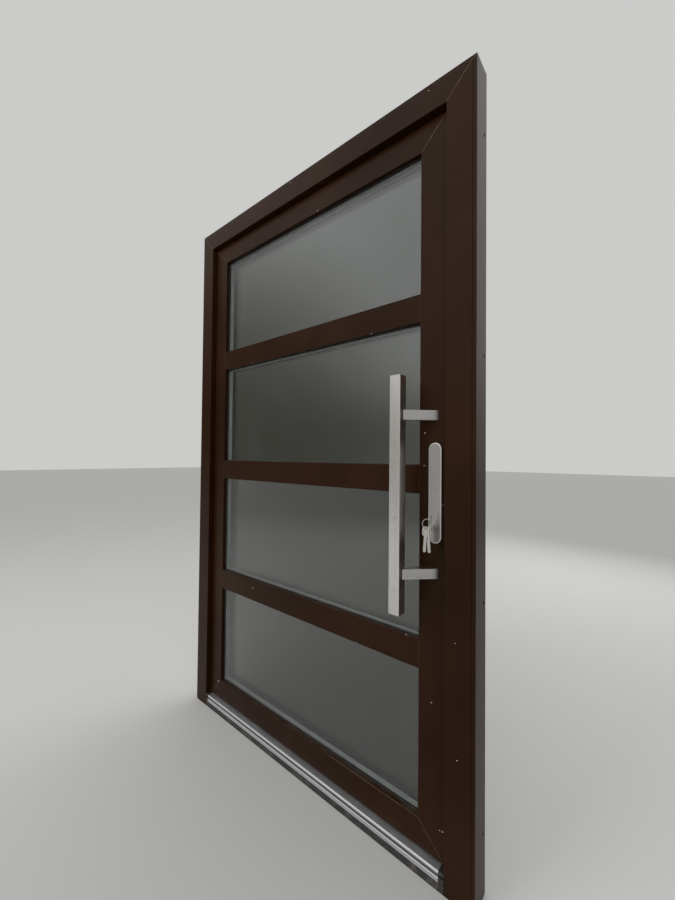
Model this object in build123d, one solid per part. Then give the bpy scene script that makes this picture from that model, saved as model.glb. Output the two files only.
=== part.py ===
"""Glazed aluminium entrance door in its frame, seen from outside along +Y.

X runs to the right, Y inwards and Z up, in millimetres. The origin is the middle of the
threshold's underside. The leaf hangs on the left and opens inwards.
"""
import os
from math import cos, radians, sin, tan

from build123d import *

os.makedirs("parts", exist_ok=True)

# Frame
frame_width = 1200.0
frame_height = 2015.0
frame_depth = 70.0
frame_face = 75.0
lip_width = 10.0
lip_step = 2.0
nib_width = 9.0
nib_depth = 25.0
channel_width = 18.0
channel_depth = 16.0
profile_wall = 2.0
edge_radius = 1.0
cut_over = 1.0
mitre_reach = 160.0

# Leaf
leaf_face = 73.0
leaf_depth = 61.0
leaf_set_back = 19.0
leaf_gap = 5.0
leaf_bottom = 51.0
fin_height = 18.0
fin_depth = 13.0
rebate_step = 8.0
rebate_step_depth = 10.0
flange_reach = 21.0
flange_thickness = 7.0
muntin_face = 75.0
pane_count = 4

# Glass and its seals
glass_thickness = 4.0
spacer_depth = 16.0
spacer_height = 8.0
spacer_inset = 4.0
glass_cover = 10.0
outer_gasket_depth = 4.0
inner_gasket_depth = 3.0
gasket_show = 1.5
gasket_height = 8.0
bead_bevel = 5.0
setting_length = 100.0
setting_offset = 120.0
seal_gap = 0.3
frame_seal_width = 5.0
leaf_seal_width = 4.0
brush_width = 4.0

# Threshold
threshold_height = 46.0
threshold_platform = 37.0
threshold_base_height = 18.0
groove_top = 40.0
groove_bottom = 31.0
groove_depth = 6.0
nose_radius = 5.5
step_radius = 3.0
end_cap_length = 14.0
end_gap = 0.2

# Corner blocks
cleat_arm_length = 90.0
cleat_gap = 0.3
cleat_depth = 30.0

# Hinges
hinge_from_bottom = 230.0
hinge_from_top = 265.0
hinge_length = 110.0
hinge_axis_out = 10.0
hinge_axis_in = 12.0
barrel_radius = 10.0
hinge_pin_radius = 5.0
pin_clearance = 0.05
bush_wall = 2.0
knuckle_length = 37.2
knuckle_gap = 0.4
hinge_plate = 5.0
hinge_plate_edge = 2.0
hinge_plate_width = 44.0
pin_cap_length = 4.0
screw_radius = 2.4
screw_head_radius = 4.6
lock_screw_head_radius = 4.0
screw_length = 16.0
screw_clearance = 0.1
hinge_screw_reach = 35.0
hinge_screw_inset = 15.0

# Lock
cylinder_height = 897.0
backset = 35.0
lock_depth = 36.0
case_thickness = 16.0
case_wall = 1.5
case_back = 55.0
case_below = 85.0
case_above = 125.0
faceplate_width = 22.0
faceplate_thickness = 3.0
faceplate_below = 117.0
faceplate_above = 153.0
faceplate_screw_inset = 14.0
bolt_above_cylinder = 33.0
bolt_height = 28.0
bolt_thickness = 11.4
bolt_length = 47.0
bolt_clearance = 0.3
bolt_set_in = 0.5
roller_above_cylinder = 100.0
roller_radius = 5.5
roller_height = 13.4
roller_slot = 14.0
roller_axle_radius = 2.0
roller_reach = 3.2
slide_length = 30.0
slide_height = 24.0
slide_thickness = 11.2

# Strike
strike_thickness = 2.0
strike_width = 28.0
strike_below = 17.0
strike_above = 143.0
strike_screw_inset = 9.0
pocket_margin = 2.0
strike_block_height = 18.0
strike_block_gap = 0.2

# Cylinder
head_radius = 8.5
tail_width = 10.0
tail_reach = 24.5
plug_radius = 6.5
plug_clearance = 0.04
plug_proud = 0.5
cylinder_proud = 2.0
cam_radius = 14.0
cam_thickness = 10.0
cam_slot = 11.0
cam_lug_width = 8.0
cam_room = 0.6
cam_rest_angle = 150.0
cylinder_screw_drop = 19.5
cylinder_screw_radius = 2.5
keyway_width = 2.6
keyway_height = 8.8
keyway_end_gap = 1.5
thumbturn_length = 24.0
thumbturn_width = 32.0
thumbturn_thickness = 13.0
thumbturn_neck = 3.0
thumbturn_radius = 5.0

# Long plates
plate_width = 34.0
plate_length = 254.0
plate_thickness = 8.0
plate_below_cylinder = 63.0
plate_bevel = 2.0
plate_screw_below = 45.0
plate_screw_above = 169.0
plate_screw_radius = 2.5
plate_screw_bite = 5.0

# Pull bars
bar_side = 30.0
bar_wall = 2.0
bar_length = 600.0
bar_gap = 50.0
support_side = 25.0
support_below_plate = 76.0
support_above_plate = 70.0
spigot_side = 20.0
spigot_length = 1.5
support_angle = 45.0
pad_thickness = 1.0
pad_margin = 1.5
cap_thickness = 3.0
stud_radius = 4.0
stud_bite = 10.0
stud_clearance = 0.1
support_cut_reach = 260.0

# Keys and ring
key_thickness = 2.2
blade_length = 36.0
blade_height = 8.2
blade_tip = 3.0
key_groove_width = 1.6
key_groove_depth = 0.5
key_groove_offset = 1.8
key_groove_start = 2.0
bow_length = 25.0
bow_height = 20.0
bow_radius = 7.0
neck_length = 4.0
key_hole_radius = 3.6
key_hole_inset = 5.0
notch_depth = 1.3
notch_change = 0.8
notch_turn = 2.1
notch_pitch = 4.6
notch_count = 6
ring_radius = 11.5
wire_side = 1.4
wire_chamfer = 0.3
ring_seat_gap = 2.6
ring_lean = 34.0
ring_turn = 33.0
spare_seat_gap = 2.2
spare_spacing = 4.3
spare_tilt = 4.5
spare_facing = -97.0

# Wall fixings
fixing_from_bottom = 150.0
fixing_from_top = 165.0
fixing_spacing = 550.0
fixing_radius = 4.0

# Worked-out places
frame_front = -frame_depth / 2
frame_back = frame_depth / 2
inner_half = frame_width / 2 - frame_face
head_bottom = frame_height - frame_face
leaf_front = frame_front + leaf_set_back
leaf_back = leaf_front + leaf_depth
leaf_half = inner_half - leaf_gap
leaf_top = head_bottom - leaf_gap
glass_front = leaf_front + fin_depth + outer_gasket_depth
glass_back = glass_front + 2 * glass_thickness + spacer_depth
bead_front = glass_back + inner_gasket_depth
sight_half = leaf_half - leaf_face
sight_bottom = leaf_bottom + leaf_face
sight_top = leaf_top - leaf_face
pane_clear = (sight_top - sight_bottom - (pane_count - 1) * muntin_face) / pane_count
core_half = sight_half + fin_height
hinge_x = -(leaf_half + flange_reach + hinge_axis_out)
hinge_y = leaf_back + hinge_axis_in
lock_edge = leaf_half + rebate_step
lock_x = lock_edge - backset
lock_y = leaf_front + lock_depth
case_front = lock_edge - faceplate_thickness
bolt_z = cylinder_height + bolt_above_cylinder
roller_z = cylinder_height + roller_above_cylinder
rebate_x = inner_half + nib_width
strike_x = rebate_x - strike_thickness
stud_x = (sight_half + leaf_half) / 2
bar_x = stud_x - (bar_gap + bar_side / 2) * tan(radians(support_angle))
leaf_middle = (leaf_front + leaf_back) / 2
plate_bottom = cylinder_height - plate_below_cylinder
support_heights = (
    plate_bottom - support_below_plate,
    plate_bottom + plate_length + support_above_plate,
)
bar_bottom = sum(support_heights) / 2 - bar_length / 2
hinge_top = frame_height - hinge_from_top
hinge_heights = (hinge_from_bottom, (hinge_from_bottom + hinge_top) / 2, hinge_top)
fixing_top = frame_height - fixing_from_top
fixing_heights = (
    fixing_from_bottom,
    fixing_from_bottom + fixing_spacing,
    fixing_top - fixing_spacing,
    fixing_top,
)
key_face = leaf_front - plate_thickness - cylinder_proud - plug_proud
bow_end = key_face - neck_length - bow_length
key_hole_y = bow_end + key_hole_inset
wire_reach = ((wire_side / 2) ** 2 + (wire_side / 2 - wire_chamfer) ** 2) ** 0.5
ring_drop = key_hole_radius - wire_side / 2 - ring_seat_gap
spare_drop = key_hole_radius - wire_reach - spare_seat_gap
ring_aside = ring_radius * sin(radians(ring_lean))
ring_x = lock_x - ring_aside * cos(radians(ring_turn))
ring_y = key_hole_y - ring_aside * sin(radians(ring_turn))
ring_z = cylinder_height - ring_drop - ring_radius * cos(radians(ring_lean))


def pane_bottom(index):
    # height of the clear opening of one pane, counted from the top
    return sight_top - pane_clear - index * (pane_clear + muntin_face)


def outline(corners):
    # closed face from (x, y, radius) corners
    points = [(x, y) for x, y, _ in corners]
    radii = [r for _, _, r in corners]
    return make_face(FilletPolyline(*points, radius=radii, close=True))


def box_between(low, high):
    size = [b - a for a, b in zip(low, high)]
    middle = [(a + b) / 2 for a, b in zip(low, high)]
    return Pos(*middle) * Box(*size)


def along_y(radius, start, end, x, z):
    return Pos(x, (start + end) / 2, z) * Rot(90, 0, 0) * Cylinder(radius, abs(end - start))


def along_x(radius, start, end, y, z):
    return Pos((start + end) / 2, y, z) * Rot(0, 90, 0) * Cylinder(radius, abs(end - start))


def standing(corners, low, high):
    # section in (x, y), extruded from low to high along Z
    return Pos(0, 0, low) * extrude(outline(corners), amount=high - low)


def lying(corners, low, high):
    # section in (y, z), extruded from low to high along X
    face = Plane.YZ * outline(corners)
    return Pos(low, 0, 0) * extrude(face, amount=high - low)


def slab(corners, low, high):
    # section in (x, z), extruded from low to high along Y
    face = Plane.XZ.offset(-high) * outline(corners)
    return extrude(face, amount=high - low)


def save(name, *solids):
    kept = []
    for piece in solids:
        kept.extend(piece.solids())
    shape = kept[0] if len(kept) == 1 else Compound(children=kept)
    shape.label = name
    export_step(shape, f"parts/{name}.step")


def rect(x0, y0, x1, y1):
    return [(x0, y0, 0), (x1, y0, 0), (x1, y1, 0), (x0, y1, 0)]


# Sections: a is measured from the profile's visible edge, b from its front


def frame_section():
    # the channel takes the strike and the fixings
    channel_start = lock_y - channel_width / 2 - frame_front
    channel_end = channel_start + channel_width
    channel_floor = nib_width + channel_depth
    solid_part = [
        (0, 0, edge_radius),
        (frame_face - lip_width, 0, edge_radius),
        (frame_face - lip_width, lip_step, 0),
        (frame_face, lip_step, edge_radius),
        (frame_face, frame_depth, 0),
        (nib_width, frame_depth, 0),
        (nib_width, channel_end, 0),
        (channel_floor, channel_end, 0),
        (channel_floor, channel_start, 0),
        (nib_width, channel_start, 0),
        (nib_width, nib_depth, 0),
        (0, nib_depth, 0),
    ]
    wall = profile_wall
    front_end = nib_depth - wall
    lip_start = frame_face - lip_width
    chambers = [
        rect(wall, wall, lip_start - wall, front_end),
        rect(lip_start, lip_step + wall, frame_face - wall, front_end),
        rect(nib_width + wall, nib_depth, channel_floor, channel_start - wall),
        rect(channel_floor + wall, nib_depth, frame_face - wall, frame_depth - wall),
    ]
    return solid_part, chambers


def leaf_section():
    core = leaf_face - fin_height
    solid_part = [
        (0, 0, edge_radius),
        (leaf_face, 0, edge_radius),
        (leaf_face, fin_depth, 0),
        (core, fin_depth, 0),
        (core, leaf_depth, 0),
        (-flange_reach, leaf_depth, edge_radius),
        (-flange_reach, leaf_depth - flange_thickness, 0),
        (-rebate_step, leaf_depth - flange_thickness, 0),
        (-rebate_step, rebate_step_depth, 0),
        (0, rebate_step_depth, 0),
    ]
    wall = profile_wall
    chambers = [
        rect(wall, wall, leaf_face - wall, fin_depth - wall),
        rect(wall - rebate_step, fin_depth, core - wall, leaf_depth - wall),
    ]
    return solid_part, chambers


def muntin_section():
    half = muntin_face / 2
    core = half - fin_height
    solid_part = [
        (-half, 0, edge_radius),
        (half, 0, edge_radius),
        (half, fin_depth, 0),
        (core, fin_depth, 0),
        (core, leaf_depth, 0),
        (-core, leaf_depth, 0),
        (-core, fin_depth, 0),
        (-half, fin_depth, 0),
    ]
    wall = profile_wall
    chambers = [
        rect(wall - half, wall, half - wall, fin_depth - wall),
        rect(wall - core, fin_depth, core - wall, leaf_depth - wall),
    ]
    return solid_part, chambers


def placed(corners, edge, direction, front, upright):
    # section corners moved to their side of the door
    if upright:
        return [(edge + direction * a, front + b, r) for a, b, r in corners]
    return [(front + b, edge + direction * a, r) for a, b, r in corners]


def profile_bar(section, edge, direction, front, low, high, upright):
    solid_part, chambers = section
    make = standing if upright else lying
    bar = make(placed(solid_part, edge, direction, front, upright), low, high)
    for chamber in chambers:
        bar -= make(placed(chamber, edge, direction, front, upright), low, high)
    return bar


def mitre_prism(x, z, step_x, step_z, side_x):
    # keeps what lies on one side of the 45 degree plane through (x, z)
    reach = mitre_reach
    near = (x - step_x * reach, z - step_z * reach)
    far = (x + step_x * reach, z + step_z * reach)
    away = side_x * frame_width
    corners = [(*near, 0), (*far, 0), (far[0] + away, far[1], 0), (near[0] + away, near[1], 0)]
    return slab(corners, frame_front - reach, frame_back + reach)


# Frame


def frame_pieces():
    section = frame_section()
    head = profile_bar(
        section, head_bottom, 1, frame_front, -frame_width / 2, frame_width / 2, False
    )
    lock_jamb = profile_bar(section, inner_half, 1, frame_front, 0, frame_height, True)
    hinge_jamb = profile_bar(section, -inner_half, -1, frame_front, 0, frame_height, True)
    for side in (1, -1):
        head -= mitre_prism(side * inner_half, head_bottom, side, 1, side)
    lock_jamb -= mitre_prism(inner_half, head_bottom, 1, 1, -1)
    hinge_jamb -= mitre_prism(-inner_half, head_bottom, -1, 1, 1)
    near = rebate_x + channel_depth - cut_over
    far = frame_width / 2 + cut_over
    for height in fixing_heights:
        lock_jamb -= along_x(fixing_radius, near, far, lock_y, height)
        hinge_jamb -= along_x(fixing_radius, -far, -near, lock_y, height)
    for x, z in hinge_screw_places(frame_screw_x()):
        hinge_jamb -= hinge_screw_hole(frame_back, x, z)
    save("frame_head", head)
    save("frame_lock_jamb", lock_jamb)
    save("frame_hinge_jamb", hinge_jamb)


def corner_block(corner_x, corner_z, side_x, side_z, width, low, high):
    # L-shaped block whose outer corner is given, with arms back along both profiles
    arm = cleat_arm_length
    corners = [
        (corner_x, corner_z, 0),
        (corner_x, corner_z - side_z * (width + arm), 0),
        (corner_x - side_x * width, corner_z - side_z * (width + arm), 0),
        (corner_x - side_x * width, corner_z - side_z * width, 0),
        (corner_x - side_x * (width + arm), corner_z - side_z * width, 0),
        (corner_x - side_x * (width + arm), corner_z, 0),
    ]
    return slab(corners, low, high)


def corner_blocks():
    # frame blocks fill the main chamber, leaf blocks the leaf's
    width = frame_face - nib_width - channel_depth - 2 * profile_wall - 2 * cleat_gap
    low = frame_front + nib_depth + cleat_gap
    inset = profile_wall + cleat_gap
    blocks = []
    for side in (1, -1):
        x = side * (frame_width / 2 - inset)
        blocks.append(
            corner_block(x, frame_height - inset, side, 1, width, low, low + cleat_depth)
        )
    save("frame_corner_cleats", *blocks)
    width = leaf_face - fin_height + rebate_step - 2 * profile_wall - 2 * cleat_gap
    low = leaf_front + fin_depth + cleat_gap
    blocks = []
    for side in (1, -1):
        x = side * (lock_edge - inset)
        top = leaf_top + rebate_step - inset
        bottom = leaf_bottom - rebate_step + inset
        blocks.append(corner_block(x, top, side, 1, width, low, low + cleat_depth))
        blocks.append(corner_block(x, bottom, side, -1, width, low, low + cleat_depth))
    save("leaf_corner_cleats", *blocks)


def threshold_pieces():
    front = frame_front
    nib_back = frame_front + nib_depth
    base = threshold_base_height
    nose = [
        (front, base, step_radius),
        (front, groove_bottom, step_radius),
        (front + groove_depth, groove_bottom, 0),
        (front + groove_depth, groove_top, 0),
        (front, groove_top, edge_radius),
        (front, threshold_height, nose_radius - edge_radius),
        (nib_back, threshold_height, edge_radius),
        (nib_back, base, 0),
    ]
    platform = rect(nib_back, base, frame_back, threshold_platform)
    chamber = rect(
        nib_back + profile_wall,
        base + profile_wall,
        frame_back - profile_wall,
        threshold_platform - profile_wall,
    )
    nose_half = inner_half - end_cap_length
    platform_half = rebate_x - end_gap
    body = lying(nose, -nose_half, nose_half) + lying(platform, -platform_half, platform_half)
    body -= lying(chamber, -platform_half, platform_half)
    save("threshold", body)

    cap_end = inner_half - end_gap
    caps = [lying(nose, nose_half, cap_end), lying(nose, -cap_end, -nose_half)]
    save("threshold_end_caps", *caps)

    plan = [
        (-inner_half, front, 0),
        (inner_half, front, 0),
        (inner_half, nib_back, 0),
        (platform_half, nib_back, 0),
        (platform_half, frame_back, 0),
        (-platform_half, frame_back, 0),
        (-platform_half, nib_back, 0),
        (-inner_half, nib_back, 0),
    ]
    save("threshold_base", standing(plan, 0, base))


def seal_strips():
    # four strips behind the frame's nib and four on the leaf's flange
    low = frame_front + nib_depth
    high = leaf_front + rebate_step_depth - seal_gap
    near = inner_half + edge_radius / 2
    far = near + frame_seal_width
    bottom = threshold_height - edge_radius
    top = head_bottom + far - inner_half
    strips = [
        box_between((-far, low, bottom), (-near, high, top)),
        box_between((near, low, bottom), (far, high, top)),
        box_between((-near, low, top - frame_seal_width), (near, high, top)),
        box_between((-near, low, bottom - frame_seal_width), (near, high, bottom)),
    ]
    save("frame_gasket", *strips)
    high = leaf_back - flange_thickness
    low = frame_back + seal_gap
    far = leaf_half + flange_reach - edge_radius
    near = far - leaf_seal_width
    top = leaf_top + flange_reach - edge_radius
    bottom = leaf_bottom - flange_reach + edge_radius
    strips = [
        box_between((-far, low, bottom), (-near, high, top)),
        box_between((near, low, bottom), (far, high, top)),
        box_between((-near, low, top - leaf_seal_width), (near, high, top)),
        box_between((-near, low, bottom), (near, high, bottom + leaf_seal_width)),
    ]
    save("leaf_gasket", *strips)
    y = leaf_middle
    brush = box_between(
        (-leaf_half, y - brush_width / 2, threshold_platform + seal_gap),
        (leaf_half, y + brush_width / 2, leaf_bottom - rebate_step),
    )
    save("bottom_brush", brush)


# Leaf


def leaf_pieces():
    section = leaf_section()
    reach = flange_reach
    low = leaf_bottom - reach
    high = leaf_top + reach
    half = leaf_half + reach
    stile_lock = profile_bar(section, leaf_half, -1, leaf_front, low, high, True)
    stile_hinge = profile_bar(section, -leaf_half, 1, leaf_front, low, high, True)
    rail_top = profile_bar(section, leaf_top, -1, leaf_front, -half, half, False)
    rail_bottom = profile_bar(section, leaf_bottom, 1, leaf_front, -half, half, False)
    for side in (1, -1):
        rail_top -= mitre_prism(side * leaf_half, leaf_top, side, 1, side)
        rail_bottom -= mitre_prism(side * leaf_half, leaf_bottom, side, -1, side)
    stile_lock -= mitre_prism(leaf_half, leaf_top, 1, 1, -1)
    stile_lock -= mitre_prism(leaf_half, leaf_bottom, 1, -1, -1)
    stile_hinge -= mitre_prism(-leaf_half, leaf_top, -1, 1, 1)
    stile_hinge -= mitre_prism(-leaf_half, leaf_bottom, -1, -1, 1)
    stile_lock = cut_for_lock(stile_lock)
    for x, z in hinge_screw_places(leaf_screw_x()):
        stile_hinge -= hinge_screw_hole(leaf_back, x, z)
    save("stile_lock", stile_lock)
    save("stile_hinge", stile_hinge)
    save("rail_top", rail_top)
    save("rail_bottom", rail_bottom)
    for index, name in enumerate(("muntin_upper", "muntin_middle", "muntin_lower")):
        save(name, muntin(pane_bottom(index) - muntin_face / 2))


def cut_for_lock(stile):
    half_width = faceplate_width / 2
    stile -= box_between(
        (case_front, lock_y - half_width, cylinder_height - faceplate_below),
        (lock_edge + cut_over, lock_y + half_width, cylinder_height + faceplate_above),
    )
    front = leaf_front - cut_over
    back = leaf_back + cut_over
    stile -= cylinder_profile(front, back, end_gap)
    for z in plate_screw_heights():
        stile -= along_y(plate_screw_radius + end_gap, front, back, lock_x, z)
    for z in support_heights:
        stile -= along_y(stud_radius + stud_clearance, front, back, stud_x, z)
    return stile


def muntin(height):
    # front fins butt on the stiles' fins, the core runs on to the stiles' cores
    solid_part, chambers = muntin_section()
    fins = placed(solid_part, height, 1, leaf_front, False)
    core = muntin_face / 2 - fin_height
    core_corners = placed(rect(-core, fin_depth, core, leaf_depth), height, 1, leaf_front, False)
    bar = lying(fins, -sight_half, sight_half) + lying(core_corners, -core_half, core_half)
    for chamber in chambers:
        bar -= lying(placed(chamber, height, 1, leaf_front, False), -core_half, core_half)
    return bar


def ring_between(outer, inner, low, high):
    # rectangular ring from two (half width, bottom, top) rectangles
    body = box_between((-outer[0], low, outer[1]), (outer[0], high, outer[2]))
    hole = box_between(
        (-inner[0], low - cut_over, inner[1]), (inner[0], high + cut_over, inner[2])
    )
    return body - hole


def grown(index, amount):
    bottom = pane_bottom(index)
    return sight_half + amount, bottom - amount, bottom + pane_clear + amount


def pane(index, low):
    half, bottom, top = grown(index, glass_cover)
    return box_between((-half, low, bottom), (half, low + glass_thickness, top))


def glazing():
    cavity = glass_front + glass_thickness
    indexes = range(pane_count)
    for index in indexes:
        save(f"outer_pane_{index + 1}", pane(index, glass_front))
    save("inner_panes", *[pane(i, cavity + spacer_depth) for i in indexes])
    edge = glass_cover - spacer_inset
    spacers = [
        ring_between(grown(i, edge), grown(i, edge - spacer_height), cavity, cavity + spacer_depth)
        for i in indexes
    ]
    save("spacers", *spacers)
    hidden = gasket_height - gasket_show
    gaskets = [
        ring_between(grown(i, hidden), grown(i, -gasket_show), low, high)
        for low, high in ((leaf_front + fin_depth, glass_front), (glass_back, bead_front))
        for i in indexes
    ]
    save("glazing_gaskets", *gaskets)
    save("setting_blocks", *[block for i in indexes for block in setting_blocks(i)])
    save("glazing_beads", *[bead for i in indexes for bead in beads(i)])


def setting_blocks(index):
    pane_low = pane_bottom(index) - glass_cover
    seat = pane_bottom(index) - fin_height
    blocks = []
    for side in (1, -1):
        x = side * (sight_half - setting_offset)
        blocks.append(
            box_between(
                (x - setting_length / 2, glass_front, seat),
                (x + setting_length / 2, glass_back, pane_low),
            )
        )
    return blocks


def bead_section():
    depth = leaf_back - bead_front
    bevel = bead_bevel
    corners = [
        (0, 0, 0),
        (0, depth - bevel, edge_radius),
        (bevel, depth, edge_radius),
        (fin_height, depth, 0),
        (fin_height, 0, 0),
    ]
    chamber = rect(
        bevel - profile_wall, profile_wall, fin_height - profile_wall, depth - bevel
    )
    return corners, [chamber]


def beads(index):
    section = bead_section()
    _, bottom, top = grown(index, 0)
    return [
        profile_bar(section, bottom, -1, bead_front, -core_half, core_half, False),
        profile_bar(section, top, 1, bead_front, -core_half, core_half, False),
        profile_bar(section, sight_half, 1, bead_front, bottom, top, True),
        profile_bar(section, -sight_half, -1, bead_front, bottom, top, True),
    ]


# Hinges


def leaf_screw_x():
    return hinge_x + hinge_axis_out + hinge_screw_reach


def frame_screw_x():
    return hinge_x - hinge_plate_width / 2 - 2 * hinge_plate_edge


def hinge_screw_places(x):
    offset = hinge_length / 2 - hinge_screw_inset
    return [(x, z + side * offset) for z in hinge_heights for side in (1, -1)]


def hinge_screw_hole(surface, x, z):
    radius = screw_radius + screw_clearance
    return along_y(radius, surface - 2 * profile_wall, surface + cut_over, x, z)


def countersunk(radius, head, length, x, surface, z):
    # screw driven towards -Y, head flush with the surface
    depth = head - radius
    shank = along_y(radius, surface - depth, surface - length, x, z)
    return shank + Pos(x, surface - depth / 2, z) * Rot(-90, 0, 0) * Cone(radius, head, depth)


def hinge_bore(radius, z, length):
    return Pos(hinge_x, hinge_y, z) * Cylinder(radius, length)


def hinge_frame_half(z):
    left = hinge_x - hinge_plate_width
    right = hinge_x + 2 * hinge_plate_edge
    half = hinge_length / 2
    side_length = half - knuckle_length / 2 - knuckle_gap
    body = box_between(
        (left, frame_back, z - half), (right, frame_back + hinge_plate, z + half)
    )
    for side in (1, -1):
        middle = z + side * (half - side_length / 2)
        body += hinge_bore(barrel_radius, middle, side_length)
        body += box_between(
            (hinge_x - barrel_radius, frame_back + hinge_plate / 2, middle - side_length / 2),
            (hinge_x, hinge_y, middle + side_length / 2),
        )
    return body - hinge_bore(hinge_pin_radius + pin_clearance / 2, z, 2 * hinge_length)


def hinge_leaf_half(z):
    left = hinge_x + hinge_axis_out + hinge_plate_edge
    half = hinge_length / 2
    body = box_between(
        (left, leaf_back, z - half), (left + hinge_plate_width, leaf_back + hinge_plate, z + half)
    )
    body += hinge_bore(barrel_radius, z, knuckle_length)
    body += box_between(
        (hinge_x, leaf_back + hinge_plate_edge, z - knuckle_length / 2),
        (left + hinge_plate, leaf_back + 3 * hinge_plate_edge, z + knuckle_length / 2),
    )
    return body - hinge_bore(bush_outer(), z, 2 * hinge_length)


def bush_outer():
    return hinge_pin_radius + pin_clearance + bush_wall


def hinge_pin(z):
    half = hinge_length / 2
    pin = hinge_bore(hinge_pin_radius, z, hinge_length)
    for side in (1, -1):
        cap = Pos(hinge_x, hinge_y, z + side * (half + pin_cap_length / 2)) * Cylinder(
            barrel_radius, pin_cap_length
        )
        rim = cap.edges().group_by(Axis.Z)[-1 if side > 0 else 0]
        pin += chamfer(rim, pin_cap_length / 2)
    return pin


def hinge_screws(at_x, surface):
    return [
        countersunk(screw_radius, screw_head_radius, screw_length, x, surface, z)
        for x, z in hinge_screw_places(at_x)
    ]


def hinges():
    frame_screws = hinge_screws(frame_screw_x(), frame_back + hinge_plate)
    leaf_screws = hinge_screws(leaf_screw_x(), leaf_back + hinge_plate)
    frame_halves = [hinge_frame_half(z) for z in hinge_heights]
    leaf_halves = [hinge_leaf_half(z) for z in hinge_heights]
    for index in range(len(hinge_heights)):
        for screw in frame_screws[2 * index : 2 * index + 2]:
            frame_halves[index] -= screw
        for screw in leaf_screws[2 * index : 2 * index + 2]:
            leaf_halves[index] -= screw
    save("hinge_frame_halves", *frame_halves)
    save("hinge_leaf_halves", *leaf_halves)
    save("hinge_frame_screws", *frame_screws)
    save("hinge_leaf_screws", *leaf_screws)
    save("hinge_pins", *[hinge_pin(z) for z in hinge_heights])
    bushes = [
        hinge_bore(bush_outer(), z, knuckle_length)
        - hinge_bore(hinge_pin_radius + pin_clearance, z, hinge_length)
        for z in hinge_heights
    ]
    save("hinge_bushes", *bushes)


# Lock


def strike_openings():
    # (y, z) corners of the bolt's and the roller's openings
    half = bolt_thickness / 2 + pocket_margin
    bolt = bolt_height / 2 + pocket_margin
    roller = slide_height / 2 + pocket_margin
    return [
        ((lock_y - half, bolt_z - bolt), (lock_y + half, bolt_z + bolt)),
        ((lock_y - half, roller_z - roller), (lock_y + half, roller_z + roller)),
    ]


def strike_screw_heights():
    return (
        cylinder_height - strike_below + strike_screw_inset,
        cylinder_height + strike_above - strike_screw_inset,
    )


def sideways_screw(radius, head, length, surface, z):
    # countersunk screw along +X, head flush with the surface
    depth = head - radius
    shank = along_x(radius, surface + depth, surface + length, lock_y, z)
    cone = Pos(surface + depth / 2, lock_y, z) * Rot(0, -90, 0) * Cone(radius, head, depth)
    return shank + cone


def strike_block(z):
    # threaded block in the frame's channel
    half = channel_width / 2 - strike_block_gap
    return box_between(
        (rebate_x, lock_y - half, z - strike_block_height / 2),
        (rebate_x + channel_depth, lock_y + half, z + strike_block_height / 2),
    )


def strike():
    half = strike_width / 2
    plate = box_between(
        (strike_x, lock_y - half, cylinder_height - strike_below),
        (rebate_x, lock_y + half, cylinder_height + strike_above),
    )
    plate = fillet(plate.edges().filter_by(Axis.X), edge_radius)
    for low, high in strike_openings():
        plate -= box_between((strike_x - cut_over, low[0], low[1]), (rebate_x + cut_over, high[0], high[1]))
    screws = [
        sideways_screw(screw_radius, lock_screw_head_radius, screw_length, strike_x, z)
        for z in strike_screw_heights()
    ]
    blocks = [strike_block(z) for z in strike_screw_heights()]
    for index, screw in enumerate(screws):
        plate -= screw
        blocks[index] -= screw
    save("strike_plate", plate)
    save("strike_blocks", *blocks)
    save("strike_screws", *screws)


def cylinder_outline(gap):
    # round head over a narrow tail with a round end
    head = Circle(head_radius + gap)
    tail_end = tail_reach - tail_width / 2
    tail = Pos(0, -tail_end / 2) * Rectangle(tail_width + 2 * gap, tail_end)
    tip = Pos(0, -tail_end) * Circle(tail_width / 2 + gap)
    return head + tail + tip


def cylinder_profile(low, high, gap):
    face = Plane.XZ.offset(-high) * cylinder_outline(gap)
    return Pos(lock_x, 0, cylinder_height) * extrude(face, amount=high - low)


def cylinder_ends():
    front = leaf_front - plate_thickness - cylinder_proud
    back = leaf_back + plate_thickness + cylinder_proud
    return front, back


def lock_case():
    rear = lock_edge - case_back
    half = case_thickness / 2
    low = cylinder_height - case_below
    high = cylinder_height + case_above
    body = box_between((rear, lock_y - half, low), (case_front, lock_y + half, high))
    body -= box_between(
        (rear + case_wall, lock_y - half + case_wall, low + case_wall),
        (case_front + cut_over, lock_y + half - case_wall, high - case_wall),
    )
    front = lock_y - half - cut_over
    back = lock_y + half + cut_over
    body -= cylinder_profile(front, back, end_gap)
    for z in plate_screw_heights():
        body -= along_y(plate_screw_radius + end_gap, front, back, lock_x, z)
    save("lock_case", body)


def faceplate_screw(z):
    head = lock_screw_head_radius
    depth = head - screw_radius
    cone = Pos(lock_edge - depth / 2, lock_y, z) * Rot(0, 90, 0) * Cone(screw_radius, head, depth)
    return cone + along_x(screw_radius, lock_edge - depth, lock_edge - screw_length, lock_y, z)


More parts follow.
